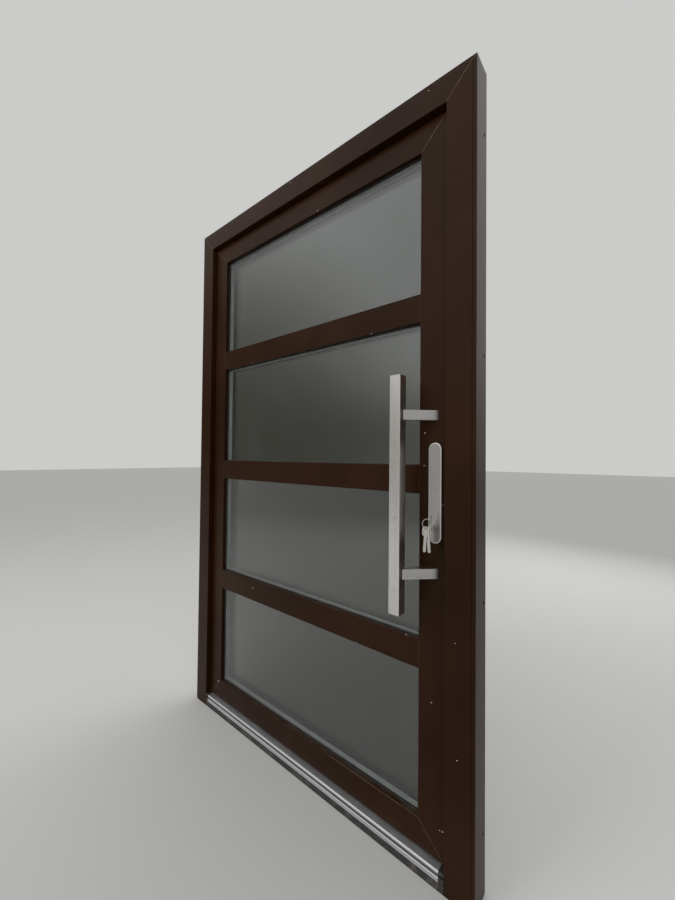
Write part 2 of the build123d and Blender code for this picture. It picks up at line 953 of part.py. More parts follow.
def faceplate():
    half = faceplate_width / 2
    low = cylinder_height - faceplate_below
    high = cylinder_height + faceplate_above
    body = box_between((case_front, lock_y - half, low), (lock_edge, lock_y + half, high))
    gap = bolt_clearance
    near = case_front - cut_over
    far = lock_edge + cut_over
    for z, height, thickness in (
        (bolt_z, bolt_height, bolt_thickness),
        (roller_z, slide_height, slide_thickness),
    ):
        body -= box_between(
            (near, lock_y - thickness / 2 - gap, z - height / 2 - gap),
            (far, lock_y + thickness / 2 + gap, z + height / 2 + gap),
        )
    screw_z = cylinder_height - cylinder_screw_drop
    body -= along_x(cylinder_screw_radius + end_gap, near, far, lock_y, screw_z)
    inset = faceplate_screw_inset
    screws = [faceplate_screw(z) for z in (low + inset, high - inset)]
    for screw in screws:
        body -= screw
    save("lock_faceplate", body)
    return screws


def deadbolt():
    front = lock_edge - bolt_set_in
    body = box_between(
        (front - bolt_length, lock_y - bolt_thickness / 2, bolt_z - bolt_height / 2),
        (front, lock_y + bolt_thickness / 2, bolt_z + bolt_height / 2),
    )
    tip = body.faces().sort_by(Axis.X)[-1].edges()
    save("deadbolt", chamfer(tip, edge_radius))


def roller_catch():
    centre = lock_edge + roller_reach - roller_radius
    front = lock_edge - bolt_set_in
    body = box_between(
        (front - slide_length, lock_y - slide_thickness / 2, roller_z - slide_height / 2),
        (front, lock_y + slide_thickness / 2, roller_z + slide_height / 2),
    )
    slot_back = centre - roller_radius - bolt_clearance
    body -= box_between(
        (slot_back, lock_y - slide_thickness, roller_z - roller_slot / 2),
        (front + cut_over, lock_y + slide_thickness, roller_z + roller_slot / 2),
    )
    axle_length = roller_slot + 2 * roller_axle_radius
    axle = Pos(centre, lock_y, roller_z) * Cylinder(roller_axle_radius, axle_length)
    save("roller_slide", body + axle)
    wheel = Pos(centre, lock_y, roller_z) * Cylinder(roller_radius, roller_height)
    wheel = chamfer(wheel.edges().filter_by(GeomType.CIRCLE), edge_radius)
    bore = Cylinder(roller_axle_radius + pin_clearance, roller_height)
    save("roller", wheel - Pos(centre, lock_y, roller_z) * bore)


def cylinder_housing():
    front, back = cylinder_ends()
    body = cylinder_profile(front, back, 0.0)
    bore = plug_radius + plug_clearance
    body -= along_y(bore, front - cut_over, back + cut_over, lock_x, cylinder_height)
    slot = cam_slot / 2
    body -= along_y(cam_radius + cam_room, lock_y - slot, lock_y + slot, lock_x, cylinder_height)
    start = lock_x - tail_width / 2
    screw_z = cylinder_height - cylinder_screw_drop
    screw = along_x(cylinder_screw_radius, start, lock_edge, lock_y, screw_z)
    save("cylinder_body", body - screw)
    return screw


def keyed_plug():
    plug = along_y(plug_radius, key_face, lock_y - cam_thickness / 2, lock_x, cylinder_height)
    half_width = keyway_width / 2
    half_height = keyway_height / 2
    keyway_end = key_face + blade_length + keyway_end_gap
    keyway = box_between(
        (lock_x - half_width, key_face - cut_over, cylinder_height - half_height),
        (lock_x + half_width, keyway_end, cylinder_height + half_height),
    )
    save("plug_outer", plug - keyway)


def cam():
    low = lock_y - cam_thickness / 2
    high = lock_y + cam_thickness / 2
    half = cam_lug_width / 2
    disc = along_y(head_radius, low, high, lock_x, cylinder_height)
    lug = box_between((-half, low, 0), (half, high, cam_radius))
    lug = lug & along_y(cam_radius, low, high, 0, 0)
    save("cylinder_cam", disc + Pos(lock_x, 0, cylinder_height) * Rot(0, cam_rest_angle, 0) * lug)


def thumbturn():
    _, back = cylinder_ends()
    start = back + plug_proud
    neck_end = start + thumbturn_neck
    shaft = along_y(plug_radius, lock_y + cam_thickness / 2, start, lock_x, cylinder_height)
    neck = along_y(head_radius, start, neck_end, lock_x, cylinder_height)
    half_x = thumbturn_thickness / 2
    half_z = thumbturn_width / 2
    corners = [
        (lock_x + x * half_x, cylinder_height + z * half_z, thumbturn_radius)
        for x, z in ((-1, -1), (1, -1), (1, 1), (-1, 1))
    ]
    grip = slab(corners, neck_end, start + thumbturn_length)
    grip = chamfer(grip.faces().sort_by(Axis.Y)[-1].edges(), edge_radius)
    save("thumbturn", shaft + neck + grip)


# Plates


def plate_screw_heights():
    return cylinder_height - plate_screw_below, cylinder_height + plate_screw_above


def long_plate(low, high, face_y):
    # stadium plate with a bevel round its outer face
    centre_z = plate_bottom + plate_length / 2
    shape = SlotOverall(plate_length, plate_width, rotation=90)
    face = Plane.XZ.offset(-high) * shape
    body = Pos(lock_x, 0, centre_z) * extrude(face, amount=high - low)
    rim = body.faces().filter_by(Plane.XZ).sort_by(Axis.Y)[face_y].edges()
    return chamfer(rim, plate_bevel)


def long_plates():
    outer_low = leaf_front - plate_thickness
    inner_high = leaf_back + plate_thickness
    outer = long_plate(outer_low, leaf_front, 0)
    inner = long_plate(leaf_back, inner_high, -1)
    outer -= cylinder_profile(outer_low - cut_over, leaf_front + cut_over, end_gap)
    inner -= cylinder_profile(leaf_back - cut_over, inner_high + cut_over, end_gap)
    length = inner_high - leaf_front + plate_screw_bite
    screws = [
        countersunk(plate_screw_radius, screw_head_radius, length, lock_x, inner_high, z)
        for z in plate_screw_heights()
    ]
    for screw in screws:
        outer -= screw
        inner -= screw
    save("escutcheon_outer", outer)
    save("escutcheon_inner", inner)
    save("escutcheon_screws", *screws)


# Pull bars


def square_bar(half, middle, low, high):
    return box_between((bar_x - half, middle - half, low), (bar_x + half, middle + half, high))


def bar_parts(side):
    # side -1 is outside, 1 inside; the inner bar mirrors the outer one
    surface = leaf_front if side < 0 else leaf_back
    middle = surface + side * (bar_gap + bar_side / 2)
    top = bar_bottom + bar_length
    tube = square_bar(bar_side / 2, middle, bar_bottom, top)
    tube = fillet(tube.edges().filter_by(Axis.Z), edge_radius)
    core = bar_side / 2 - bar_wall
    tube -= square_bar(core, middle, bar_bottom - cut_over, top + cut_over)
    cap_heights = (bar_bottom, top - cap_thickness)
    caps = [square_bar(core, middle, z, z + cap_thickness) for z in cap_heights]
    supports = [support(side, surface, middle, z) for z in support_heights]
    pads = [support_pad(side, surface, z) for z in support_heights]
    return tube, caps, supports, pads


def slanted(side, middle, z, width, length):
    # square bar from the pull bar's middle, slanting towards the leaf
    turn = side * (support_angle - 90)
    return Pos(bar_x, middle, z) * Rot(0, 0, turn) * Pos(length / 2, 0, 0) * Box(length, width, width)


def support(side, surface, middle, z):
    reach = support_cut_reach
    foot = surface + side * pad_thickness
    bar_face = bar_x + bar_side / 2
    keep = box_between(
        (bar_face + spigot_length, min(foot, foot + side * reach), z - reach),
        (bar_face + reach, max(foot, foot + side * reach), z + reach),
    )
    body = slanted(side, middle, z, support_side, reach) & keep
    spigot_room = box_between(
        (bar_face, middle - reach, z - reach), (bar_face + spigot_length, middle + reach, z + reach)
    )
    body += slanted(side, middle, z, spigot_side, reach) & spigot_room
    return body - stud(z)


def support_pad(side, surface, z):
    half = support_side / 2 / cos(radians(support_angle)) - pad_margin
    end = surface + side * pad_thickness
    half_z = support_side / 2 - pad_margin
    low, high = min(surface, end), max(surface, end)
    pad = box_between((stud_x - half, low, z - half_z), (stud_x + half, high, z + half_z))
    return pad - along_y(stud_radius + stud_clearance, low - cut_over, high + cut_over, stud_x, z)


def stud(z):
    low = leaf_front - pad_thickness - stud_bite
    high = leaf_back + pad_thickness + stud_bite
    return along_y(stud_radius, low, high, stud_x, z)


def pull_bars():
    outer, outer_caps, outer_supports, outer_pads = bar_parts(-1)
    inner, inner_caps, inner_supports, inner_pads = bar_parts(1)
    save("pull_bar_outer", outer)
    save("pull_bar_inner", inner)
    save("bar_supports_outer", *outer_supports)
    save("bar_supports_inner", *inner_supports)
    save("bar_end_caps", *outer_caps, *inner_caps)
    save("bar_support_pads", *outer_pads, *inner_pads)
    save("bar_studs", *[stud(z) for z in support_heights])


# Keys


def key_shape():
    # flat key in (along, across): shoulder at 0, blade towards +, bow towards -
    half = blade_height / 2
    tip = blade_tip
    blade = [
        (0, -half, 0),
        (blade_length - tip, -half, 0),
        (blade_length, -half + tip, 0),
        (blade_length - tip, half, 0),
        (0, half, 0),
    ]
    shape = outline(blade)
    for index in range(notch_count):
        at = notch_pitch * (index + 1)
        depth = notch_depth - notch_change * cos(notch_turn * index)
        notch = [(at - depth, half, 0), (at, half - depth, 0), (at + depth, half, 0)]
        shape -= outline(notch)
    neck = Pos(-neck_length / 2, 0) * Rectangle(neck_length, blade_height)
    bow_start = -neck_length - bow_length
    bow = RectangleRounded(bow_length, bow_height, bow_radius)
    hole = Pos(bow_start + key_hole_inset, 0) * Circle(key_hole_radius)
    return shape + neck + Pos(bow_start + bow_length / 2, 0) * bow - hole


def flat_key():
    # a groove is milled along both faces of the blade
    key = extrude(key_shape(), amount=key_thickness / 2, both=True)
    low = -key_groove_offset - key_groove_width / 2
    high = -key_groove_offset + key_groove_width / 2
    floor = key_thickness / 2 - key_groove_depth
    for side in (1, -1):
        near, far = sorted((side * floor, side * (floor + 2 * key_groove_depth)))
        key -= box_between((key_groove_start, low, near), (blade_length + cut_over, high, far))
    return key


def ring_body():
    # bent from flat wire, turned about its own axis
    section = Pos(ring_radius, 0) * Rectangle(wire_side, wire_side)
    section = chamfer(section.vertices(), wire_chamfer)
    return revolve(Plane.XZ * section, Axis.Z)


def keys():
    # the key in the lock lies in the YZ plane
    upright = Rot(0, -90, 0) * Rot(0, 0, 90)
    save("key", Pos(lock_x, key_face, cylinder_height) * upright * flat_key())
    hanging_ring = Rot(0, 0, ring_turn) * Rot(90, 0, 0) * ring_body()
    save("key_ring", Pos(ring_x, ring_y, ring_z) * hanging_ring)
    for index, side in enumerate((-1, 1)):
        save(f"spare_key_{index + 1}", spare_key(side))


def spare_key_place(side):
    # middle of the hole of a key that hangs on the ring
    along = side * spare_spacing / 2
    drop = (ring_radius**2 - along**2) ** 0.5
    x = ring_x + along * cos(radians(ring_turn))
    y = ring_y + along * sin(radians(ring_turn))
    return x, y, ring_z - drop - spare_drop


def spare_key(side):
    # hangs blade down, its flat towards the front
    hole_to_shoulder = neck_length + bow_length - key_hole_inset
    hanging = Rot(0, 90, 0) * Rot(90, 0, 0) * Pos(hole_to_shoulder, 0, 0) * flat_key()
    return (
        Pos(*spare_key_place(side))
        * Rot(0, 0, spare_facing + 90)
        * Rot(0, -side * spare_tilt, 0)
        * hanging
    )


frame_pieces()
corner_blocks()
threshold_pieces()
seal_strips()
leaf_pieces()
glazing()
hinges()
strike()
lock_case()
save("lock_screws", *faceplate(), cylinder_housing())
deadbolt()
roller_catch()
keyed_plug()
cam()
thumbturn()
long_plates()
pull_bars()
keys()
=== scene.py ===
import math
import random

import bmesh
import bpy
from mathutils import Matrix, Vector


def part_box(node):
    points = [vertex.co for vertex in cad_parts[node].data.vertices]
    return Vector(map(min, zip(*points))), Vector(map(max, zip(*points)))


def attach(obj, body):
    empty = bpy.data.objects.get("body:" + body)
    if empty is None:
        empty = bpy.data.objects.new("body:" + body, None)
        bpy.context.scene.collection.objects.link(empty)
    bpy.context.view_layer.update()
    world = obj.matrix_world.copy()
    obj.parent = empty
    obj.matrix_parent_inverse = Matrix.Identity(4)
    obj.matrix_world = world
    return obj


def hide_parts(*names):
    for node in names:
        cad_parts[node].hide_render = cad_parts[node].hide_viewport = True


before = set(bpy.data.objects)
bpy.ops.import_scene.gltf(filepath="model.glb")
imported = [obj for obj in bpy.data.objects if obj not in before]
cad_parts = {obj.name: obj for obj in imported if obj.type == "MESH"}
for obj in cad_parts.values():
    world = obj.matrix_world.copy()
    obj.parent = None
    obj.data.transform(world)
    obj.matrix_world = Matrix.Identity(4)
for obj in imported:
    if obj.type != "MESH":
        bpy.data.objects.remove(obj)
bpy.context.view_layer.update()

print("door frame loaded,", len(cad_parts), "nodes")

# Sizes shared by several pieces, in metres
frameLow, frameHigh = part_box("frame_head")
door = {
    "frontOfFrame": frameLow.y,
    "frontOfLeaf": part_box("stile_lock")[0].y,
    "frameHalf": frameHigh.x,
    "frameTop": frameHigh.z,
    "frameFace": 0.075,
    "leafGap": 0.005,
    "leafFace": 0.073,
    "leafBottom": 0.051,
    "muntinFace": 0.075,
    "paneCount": 4,
}
door["inFrame"] = door["frameHalf"] - door["frameFace"]
door["inFrameTop"] = door["frameTop"] - door["frameFace"]
door["leafHalf"] = door["inFrame"] - door["leafGap"]
door["leafTop"] = door["inFrameTop"] - door["leafGap"]
door["sightHalf"] = door["leafHalf"] - door["leafFace"]
door["sightTop"] = door["leafTop"] - door["leafFace"]
door["sightBottom"] = door["leafBottom"] + door["leafFace"]


# Camera at the place from which the photograph was taken
cameraSetup = {
    "place": Vector((0.901, -0.901, 1.050)),
    "yaw": math.radians(39.6934),   # from +Y towards -X
    "pitch": math.radians(1.0647),
    "roll": math.radians(-0.5551),
    "lens": 14.785,
    "sensor": 36.0,
    "clipStart": 0.02,
    "imageWidth": 675.0,
    "imageHeight": 900.0,
}


def cameraAxes():
    yaw, pitch, roll = cameraSetup["yaw"], cameraSetup["pitch"], cameraSetup["roll"]
    ahead = Vector((-math.sin(yaw), math.cos(yaw), 0.0))
    right = Vector((math.cos(yaw), math.sin(yaw), 0.0))
    down = Vector((0.0, 0.0, -1.0))
    ahead, down = (math.cos(pitch) * ahead - math.sin(pitch) * down,
                   math.cos(pitch) * down + math.sin(pitch) * ahead)
    right, down = (math.cos(roll) * right + math.sin(roll) * down,
                   math.cos(roll) * down - math.sin(roll) * right)
    return right, down, ahead


def newObject(name, data):
    made = bpy.data.objects.new(name, data)
    bpy.context.scene.collection.objects.link(made)
    return made


def addCamera():
    right, down, ahead = cameraAxes()
    data = bpy.data.cameras.new("photoCamera")
    data.lens = cameraSetup["lens"]
    data.sensor_width = cameraSetup["sensor"]
    data.clip_start = cameraSetup["clipStart"]
    camera = newObject("photoCamera", data)
    turn = Matrix((right, -down, -ahead)).transposed().to_4x4()
    camera.matrix_world = Matrix.Translation(cameraSetup["place"]) @ turn
    bpy.context.scene.camera = camera


def seenAt(pixelX, pixelY, planeY):
    # point of the plane y = planeY that the photograph shows at a pixel
    right, down, ahead = cameraAxes()
    focal = cameraSetup["lens"] / cameraSetup["sensor"] * cameraSetup["imageHeight"]
    ray = (ahead + right * ((pixelX - cameraSetup["imageWidth"] / 2) / focal)
           + down * ((pixelY - cameraSetup["imageHeight"] / 2) / focal))
    return cameraSetup["place"] + ray * ((planeY - cameraSetup["place"].y) / ray.y)


# Floor, world and lamps
studio = {
    "floorColour": (0.40, 0.397, 0.39, 1.0),
    "floorRoughness": 0.85,
    "floorSize": 60.0,
    "floorDrop": 0.0008,
    "backdropColour": (0.60, 0.60, 0.59, 1.0),
    "softboxColour": (0.90, 0.90, 0.89, 1.0),
    "frontColour": (0.37, 0.355, 0.34, 1.0),   # what metal and glass mirror from the front
    "frontEdge": (-0.1, 0.6),
    "topColour": (0.95, 0.955, 0.96, 1.0),
    "topEdge": (0.05, 0.27),
    "flagColour": (0.13, 0.12, 0.10, 1.0),     # a dark flag on the left, mirrored in the panes
    "flagTowards": (-0.87, -0.49, 0.0),
    "flagEdge": (0.78, 0.99),
}

lamps = {
    "keyLamp": {"place": (-1.6, -3.4, 3.2), "size": 2.4, "power": 95.0},
    "fillLamp": {"place": (3.2, -2.2, 1.8), "size": 2.2, "power": 25.0},
    "roomLamp": {"place": (0.6, 3.4, 2.6), "size": 2.6, "power": 70.0},
}


def addNode(tree, kind, inputs=None, **settings):
    made = tree.nodes.new(kind)
    for name, value in settings.items():
        setattr(made, name, value)
    for name, value in (inputs or {}).items():
        feed(tree, made.inputs[name], value)
    return made


def feed(tree, socket, value):
    if isinstance(value, bpy.types.NodeSocket):
        tree.links.new(value, socket)
    else:
        socket.default_value = value


def wire(shader, name, value):
    feed(shader.id_data, shader.inputs[name], value)


def calc(tree, operation, *values):
    made = tree.nodes.new("ShaderNodeMath")
    made.operation = operation
    for socket, value in zip(made.inputs, values):
        feed(tree, socket, value)
    return made.outputs[0]


def product(tree, first, *others):
    for value in others:
        first = calc(tree, "MULTIPLY", first, value)
    return first


def spread(tree, value, low, high):
    # smooth step of a value, 0 at the first limit and 1 at the second
    made = addNode(tree, "ShaderNodeMapRange", interpolation_type="SMOOTHSTEP")
    for socket, item in zip(made.inputs, (value, low, high, 0.0, 1.0)):
        feed(tree, socket, item)
    return made.outputs[0]


def splitAxes(tree, vector):
    return addNode(tree, "ShaderNodeSeparateXYZ", {"Vector": vector}).outputs


def surfaceFacing(tree, kind):
    return splitAxes(tree, tree.nodes.new("ShaderNodeNewGeometry").outputs[kind])


def blendColours(tree, factor, first, second):
    # a mix node has its colours at inputs 6 and 7 and at output 2
    made = addNode(tree, "ShaderNodeMix", data_type="RGBA")
    feed(tree, made.inputs[0], factor)
    feed(tree, made.inputs[6], first)
    feed(tree, made.inputs[7], second)
    return made.outputs[2]


def speckle(tree, place, layer):
    # noise; the layer holds scale, detail and roughness
    scale, detail, roughness = layer
    made = addNode(tree, "ShaderNodeTexNoise",
                   {"Vector": place, "Scale": scale, "Detail": detail, "Roughness": roughness})
    return made.outputs[0]


def stretched(tree, place, scales, turn=0.0):
    # coordinates for a grain: low scale along it, high scales across it
    turned = addNode(tree, "ShaderNodeMapping", {"Vector": place, "Rotation": (0.0, 0.0, turn)})
    made = addNode(tree, "ShaderNodeMapping", {"Vector": turned.outputs[0], "Scale": scales})
    return made.outputs[0]


def uneven(tree, noise, swing, base):
    # a value that follows a noise: swing holds a factor and an offset
    return calc(tree, "MULTIPLY_ADD", noise, swing[0], base + swing[1])


def bumped(tree, height, distance):
    return addNode(tree, "ShaderNodeBump",
                   {"Height": height, "Distance": distance, "Strength": 1.0}).outputs[0]


def newFinish(name, colour, metallic, roughness):
    # a material with its tree, its shader and the coordinates that its patterns follow
    finish = bpy.data.materials.new(name)
    finish.use_nodes = True
    tree = finish.node_tree
    tree.nodes.clear()
    out = tree.nodes.new("ShaderNodeOutputMaterial")
    shader = addNode(tree, "ShaderNodeBsdfPrincipled",
                     {"Base Color": colour, "Metallic": metallic, "Roughness": roughness})
    tree.links.new(shader.outputs[0], out.inputs[0])
    place = tree.nodes.new("ShaderNodeTexCoord").outputs["Object"]
    return finish, tree, shader, place


def addStage():
    mesh = bpy.data.meshes.new("floor")
    half = studio["floorSize"] / 2
    corners = [(-half, -half), (half, -half), (half, half), (-half, half)]
    mesh.from_pydata([(x, y, -studio["floorDrop"]) for x, y in corners], [], [(0, 1, 2, 3)])
    floor = newObject("floor", mesh)
    mesh.materials.append(newFinish("floorPaint", studio["floorColour"], 0.0,
                                    studio["floorRoughness"])[0])


def addWorld():
    world = bpy.data.worlds.new("studioWorld")
    world.use_nodes = True
    tree = world.node_tree
    tree.nodes.clear()
    towards = tree.nodes.new("ShaderNodeTexCoord").outputs["Generated"]
    axes = splitAxes(tree, towards)
    toFlag = addNode(tree, "ShaderNodeVectorMath", operation="DOT_PRODUCT")
    feed(tree, toFlag.inputs[0], towards)
    toFlag.inputs[1].default_value = Vector(studio["flagTowards"]).normalized()
    front = spread(tree, calc(tree, "MULTIPLY", axes["Y"], -1.0), *studio["frontEdge"])
    top = spread(tree, axes["Z"], *studio["topEdge"])
    flag = spread(tree, toFlag.outputs["Value"], *studio["flagEdge"])
    mirrored = blendColours(tree, front, studio["backdropColour"], studio["frontColour"])
    mirrored = blendColours(tree, top, mirrored, studio["topColour"])
    mirrored = blendColours(tree, flag, mirrored, studio["flagColour"])
    # mirrored and refracted rays see it, unless they left a matt surface
    rays = tree.nodes.new("ShaderNodeLightPath").outputs
    gloss = calc(tree, "MAXIMUM", rays["Is Glossy Ray"], rays["Is Transmission Ray"])
    gloss = product(tree, gloss, calc(tree, "LESS_THAN", rays["Diffuse Depth"], 0.5))
    colour = blendColours(tree, gloss, studio["softboxColour"], mirrored)
    colour = blendColours(tree, rays["Is Camera Ray"], colour, studio["backdropColour"])
    back = addNode(tree, "ShaderNodeBackground", {"Color": colour, "Strength": 1.0})
    out = tree.nodes.new("ShaderNodeOutputWorld")
    tree.links.new(back.outputs[0], out.inputs[0])
    bpy.context.scene.world = world


def addLamps():
    target = Vector((0.0, 0.0, door["frameTop"] / 2))
    for name, lamp in lamps.items():
        data = bpy.data.lights.new(name, "AREA")
        data.shape = "SQUARE"
        data.size = lamp["size"]
        data.energy = lamp["power"]
        holder = newObject(name, data)
        place = Vector(lamp["place"])
        holder.matrix_world = (Matrix.Translation(place)
                               @ (target - place).to_track_quat("-Z", "Y").to_matrix().to_4x4())
        holder.visible_glossy = False
        holder.visible_transmission = False


bpy.context.scene.view_settings.view_transform = "Standard"
addCamera()
addStage()
addWorld()
addLamps()
print("camera, floor, world and lamps placed")


# Finishes. A noise layer is scale, detail and roughness; a range is where it starts and is full.
powder = {
    "colour": (0.0150, 0.0054, 0.0016, 1.0),
    "faded": (0.0225, 0.0088, 0.0032, 1.0),
    "specular": 0.10,
    "roughness": 0.30,
    "cloud": (2.3, 4.0, 0.5),
    "fadedRange": (0.35, 0.7),
    "cloudRoughness": (0.10, -0.05),
    "peel": (650.0, 2.0, 0.5),
    "peelDepth": 0.000035,
    "dust": (0.20, 0.175, 0.145, 1.0),
    "dustRoughness": 0.9,
    "patches": (17.0, 5.0, 0.6),
    "fine": (210.0, 5.0, 0.65),
    "ledge": {"amount": 0.09, "facing": (0.6, 0.9), "patches": (0.30, 0.66)},
    "splash": {"amount": 0.05, "height": (0.42, 0.02), "patches": (0.45, 0.72),
               "fine": (0.48, 0.62)},
    "film": {"amount": 0.03, "fine": (0.55, 0.75), "patches": (0.5, 0.8)},
}


def powderCoat():
    # satin chocolate-brown powder coat with dust on ledges and splashes near the ground
    finish, tree, shader, place = newFinish("powderCoat", powder["colour"], 0.0,
                                            powder["roughness"])
    wire(shader, "Specular IOR Level", powder["specular"])
    ledge, splash, film = powder["ledge"], powder["splash"], powder["film"]
    cloud = speckle(tree, place, powder["cloud"])
    patches = speckle(tree, place, powder["patches"])
    fine = speckle(tree, place, powder["fine"])
    base = blendColours(tree, spread(tree, cloud, *powder["fadedRange"]),
                        powder["colour"], powder["faded"])
    onLedge = product(tree, spread(tree, surfaceFacing(tree, "Normal")["Z"], *ledge["facing"]),
                      spread(tree, patches, *ledge["patches"]))
    splashed = product(tree, spread(tree, splitAxes(tree, place)["Z"], *splash["height"]),
                       spread(tree, patches, *splash["patches"]),
                       spread(tree, fine, *splash["fine"]))
    filmed = product(tree, spread(tree, fine, *film["fine"]),
                     spread(tree, patches, *film["patches"]))
    dust = calc(tree, "MULTIPLY_ADD", onLedge, ledge["amount"],
                calc(tree, "MULTIPLY_ADD", splashed, splash["amount"],
                     product(tree, filmed, film["amount"])))
    wire(shader, "Base Color", blendColours(tree, dust, base, powder["dust"]))
    rough = uneven(tree, cloud, powder["cloudRoughness"], powder["roughness"])
    wire(shader, "Roughness", calc(tree, "MULTIPLY_ADD", dust, powder["dustRoughness"], rough))
    wire(shader, "Normal",
         bumped(tree, speckle(tree, place, powder["peel"]), powder["peelDepth"]))
    return finish


stainless = {
    "colour": (0.74, 0.725, 0.70),
    "marked": (0.56, 0.535, 0.50),
    "across": 1500.0,
    "along": 9.0,
    "grain": (1.0, 3.0, 0.7),
    "grainRoughness": (0.20, -0.08),
    "grainDepth": 0.000012,
    "bands": (1.0, 2.0, 0.5),
    "bandWidth": 7,
    "bandLength": 2,
    "bandRange": (0.35, 0.75),
    "bandAmount": 0.35,
    "marks": (34.0, 6.0, 0.62),
    "markRange": (0.52, 0.74),
    "markAmount": 0.45,
    "markRoughness": 0.13,
    # the support copies of the same steel are darkened by a factor: painted shading, not a
    # darker metal
    "kinds": {
        "barSteel": {"axis": 2, "turn": 0.0, "roughness": 0.27, "paintedShade": 1.0},
        "outerSupportSteel": {"axis": 0, "turn": -45.0, "roughness": 0.27, "paintedShade": 0.64},
        "innerSupportSteel": {"axis": 0, "turn": 45.0, "roughness": 0.27, "paintedShade": 0.72},
        "stripSteel": {"axis": 2, "turn": 0.0, "roughness": 0.33, "paintedShade": 1.0},
    },
}


def brushedSteel(name, kind):
    # brushed stainless: the grain runs along one axis, with finger marks
    axis, turn = kind["axis"], math.radians(kind["turn"])
    # clean and marked colours, darkened by the painted shading factor
    clean, marked = ([kind["paintedShade"] * part for part in stainless[key]] + [1.0]
                     for key in ("colour", "marked"))
    finish, tree, shader, place = newFinish(name, clean, 1.0, kind["roughness"])
    scales = [stainless["across"]] * 3
    scales[axis] = stainless["along"]
    grain = speckle(tree, stretched(tree, place, scales, turn), stainless["grain"])
    broad = [stainless["across"] / stainless["bandWidth"]] * 3
    broad[axis] = stainless["along"] / stainless["bandLength"]
    bands = speckle(tree, stretched(tree, place, broad, turn), stainless["bands"])
    marks = spread(tree, speckle(tree, place, stainless["marks"]), *stainless["markRange"])
    tone = calc(tree, "MULTIPLY_ADD", marks, stainless["markAmount"],
                product(tree, spread(tree, bands, *stainless["bandRange"]),
                        stainless["bandAmount"]))
    wire(shader, "Base Color", blendColours(tree, tone, clean, marked))
    rough = uneven(tree, grain, stainless["grainRoughness"], kind["roughness"])
    wire(shader, "Roughness",
         calc(tree, "MULTIPLY_ADD", marks, stainless["markRoughness"], rough))
    wire(shader, "Normal", bumped(tree, grain, stainless["grainDepth"]))
    return finish


plate = {
    "colour": (0.50, 0.49, 0.475, 1.0),
    "worn": (0.455, 0.445, 0.43, 1.0),
    "roughness": 0.34,
    "grainScales": (1900.0, 1900.0, 40.0),
    "grain": (1.0, 3.0, 0.7),
    "grainRoughness": (0.12, -0.06),
    "grainDepth": 0.000006,
    "marks": (46.0, 6.0, 0.6),
    "markRange": (0.48, 0.76),
    "markRoughness": 0.10,
    # the bevelled rim's light colour: a painted highlight
    "bevel": (0.90, 0.89, 0.86, 1.0),
    "bevelFacing": (0.5, 0.9),
    "bevelRoughness": 0.38,
    "bevelMetallic": 0.45,
}


def satinPlate():
    # satin face; its bevelled rim is painted much lighter as a painted highlight, with a finer
    # ground finish
    finish, tree, shader, place = newFinish("satinPlate", plate["colour"], 1.0,
                                            plate["roughness"])
    grain = speckle(tree, stretched(tree, place, plate["grainScales"]), plate["grain"])
    marks = spread(tree, speckle(tree, place, plate["marks"]), *plate["markRange"])
    flat = calc(tree, "ABSOLUTE", surfaceFacing(tree, "True Normal")["Y"])
    least, most = plate["bevelFacing"]
    bevel = product(tree, calc(tree, "LESS_THAN", flat, most),
                    calc(tree, "GREATER_THAN", flat, least))
    face = blendColours(tree, marks, plate["colour"], plate["worn"])
    # painted highlight: faces of the bevelled rim take the light colour
    wire(shader, "Base Color", blendColours(tree, bevel, face, plate["bevel"]))
    wire(shader, "Metallic",
         calc(tree, "MULTIPLY_ADD", bevel, plate["bevelMetallic"] - 1.0, 1.0))
    rough = uneven(tree, grain, plate["grainRoughness"], plate["roughness"])
    rough = calc(tree, "MULTIPLY_ADD", marks, plate["markRoughness"], rough)
    toBevel = calc(tree, "SUBTRACT", plate["bevelRoughness"], rough)
    wire(shader, "Roughness", calc(tree, "MULTIPLY_ADD", bevel, toBevel, rough))
    wire(shader, "Normal", bumped(tree, grain, plate["grainDepth"]))
    return finish


anodised = {
    "colour": (0.60, 0.61, 0.62, 1.0),
    "metallic": 0.85,
    "roughness": 0.34,
    "lineScales": (3.0, 1300.0, 1300.0),
    "lines": (1.0, 3.0, 0.7),
    "lineRoughness": (0.18, -0.09),
    "lineDepth": 0.00002,
    # near-black colour of the grime on the tread and of the painted shading in the groove
    "dirtAndShade": (0.055, 0.048, 0.042, 1.0),
    "dirtRoughness": 0.4,
    "grooveFront": (-0.0345, -0.0325),
    "grooveBack": -0.0280,
    "grooveLow": 0.0306,
    "grooveHigh": 0.0404,
    "grooveShadeAndDirt": 0.9,
    "scuffScales": (60.0, 240.0, 240.0),
    "scuffs": (1.0, 5.0, 0.6),
    "scuffRange": (0.40, 0.72),
    "patches": (26.0, 5.0, 0.65),
    "patchRange": (0.42, 0.72),
    "stainDirt": 0.38,
}


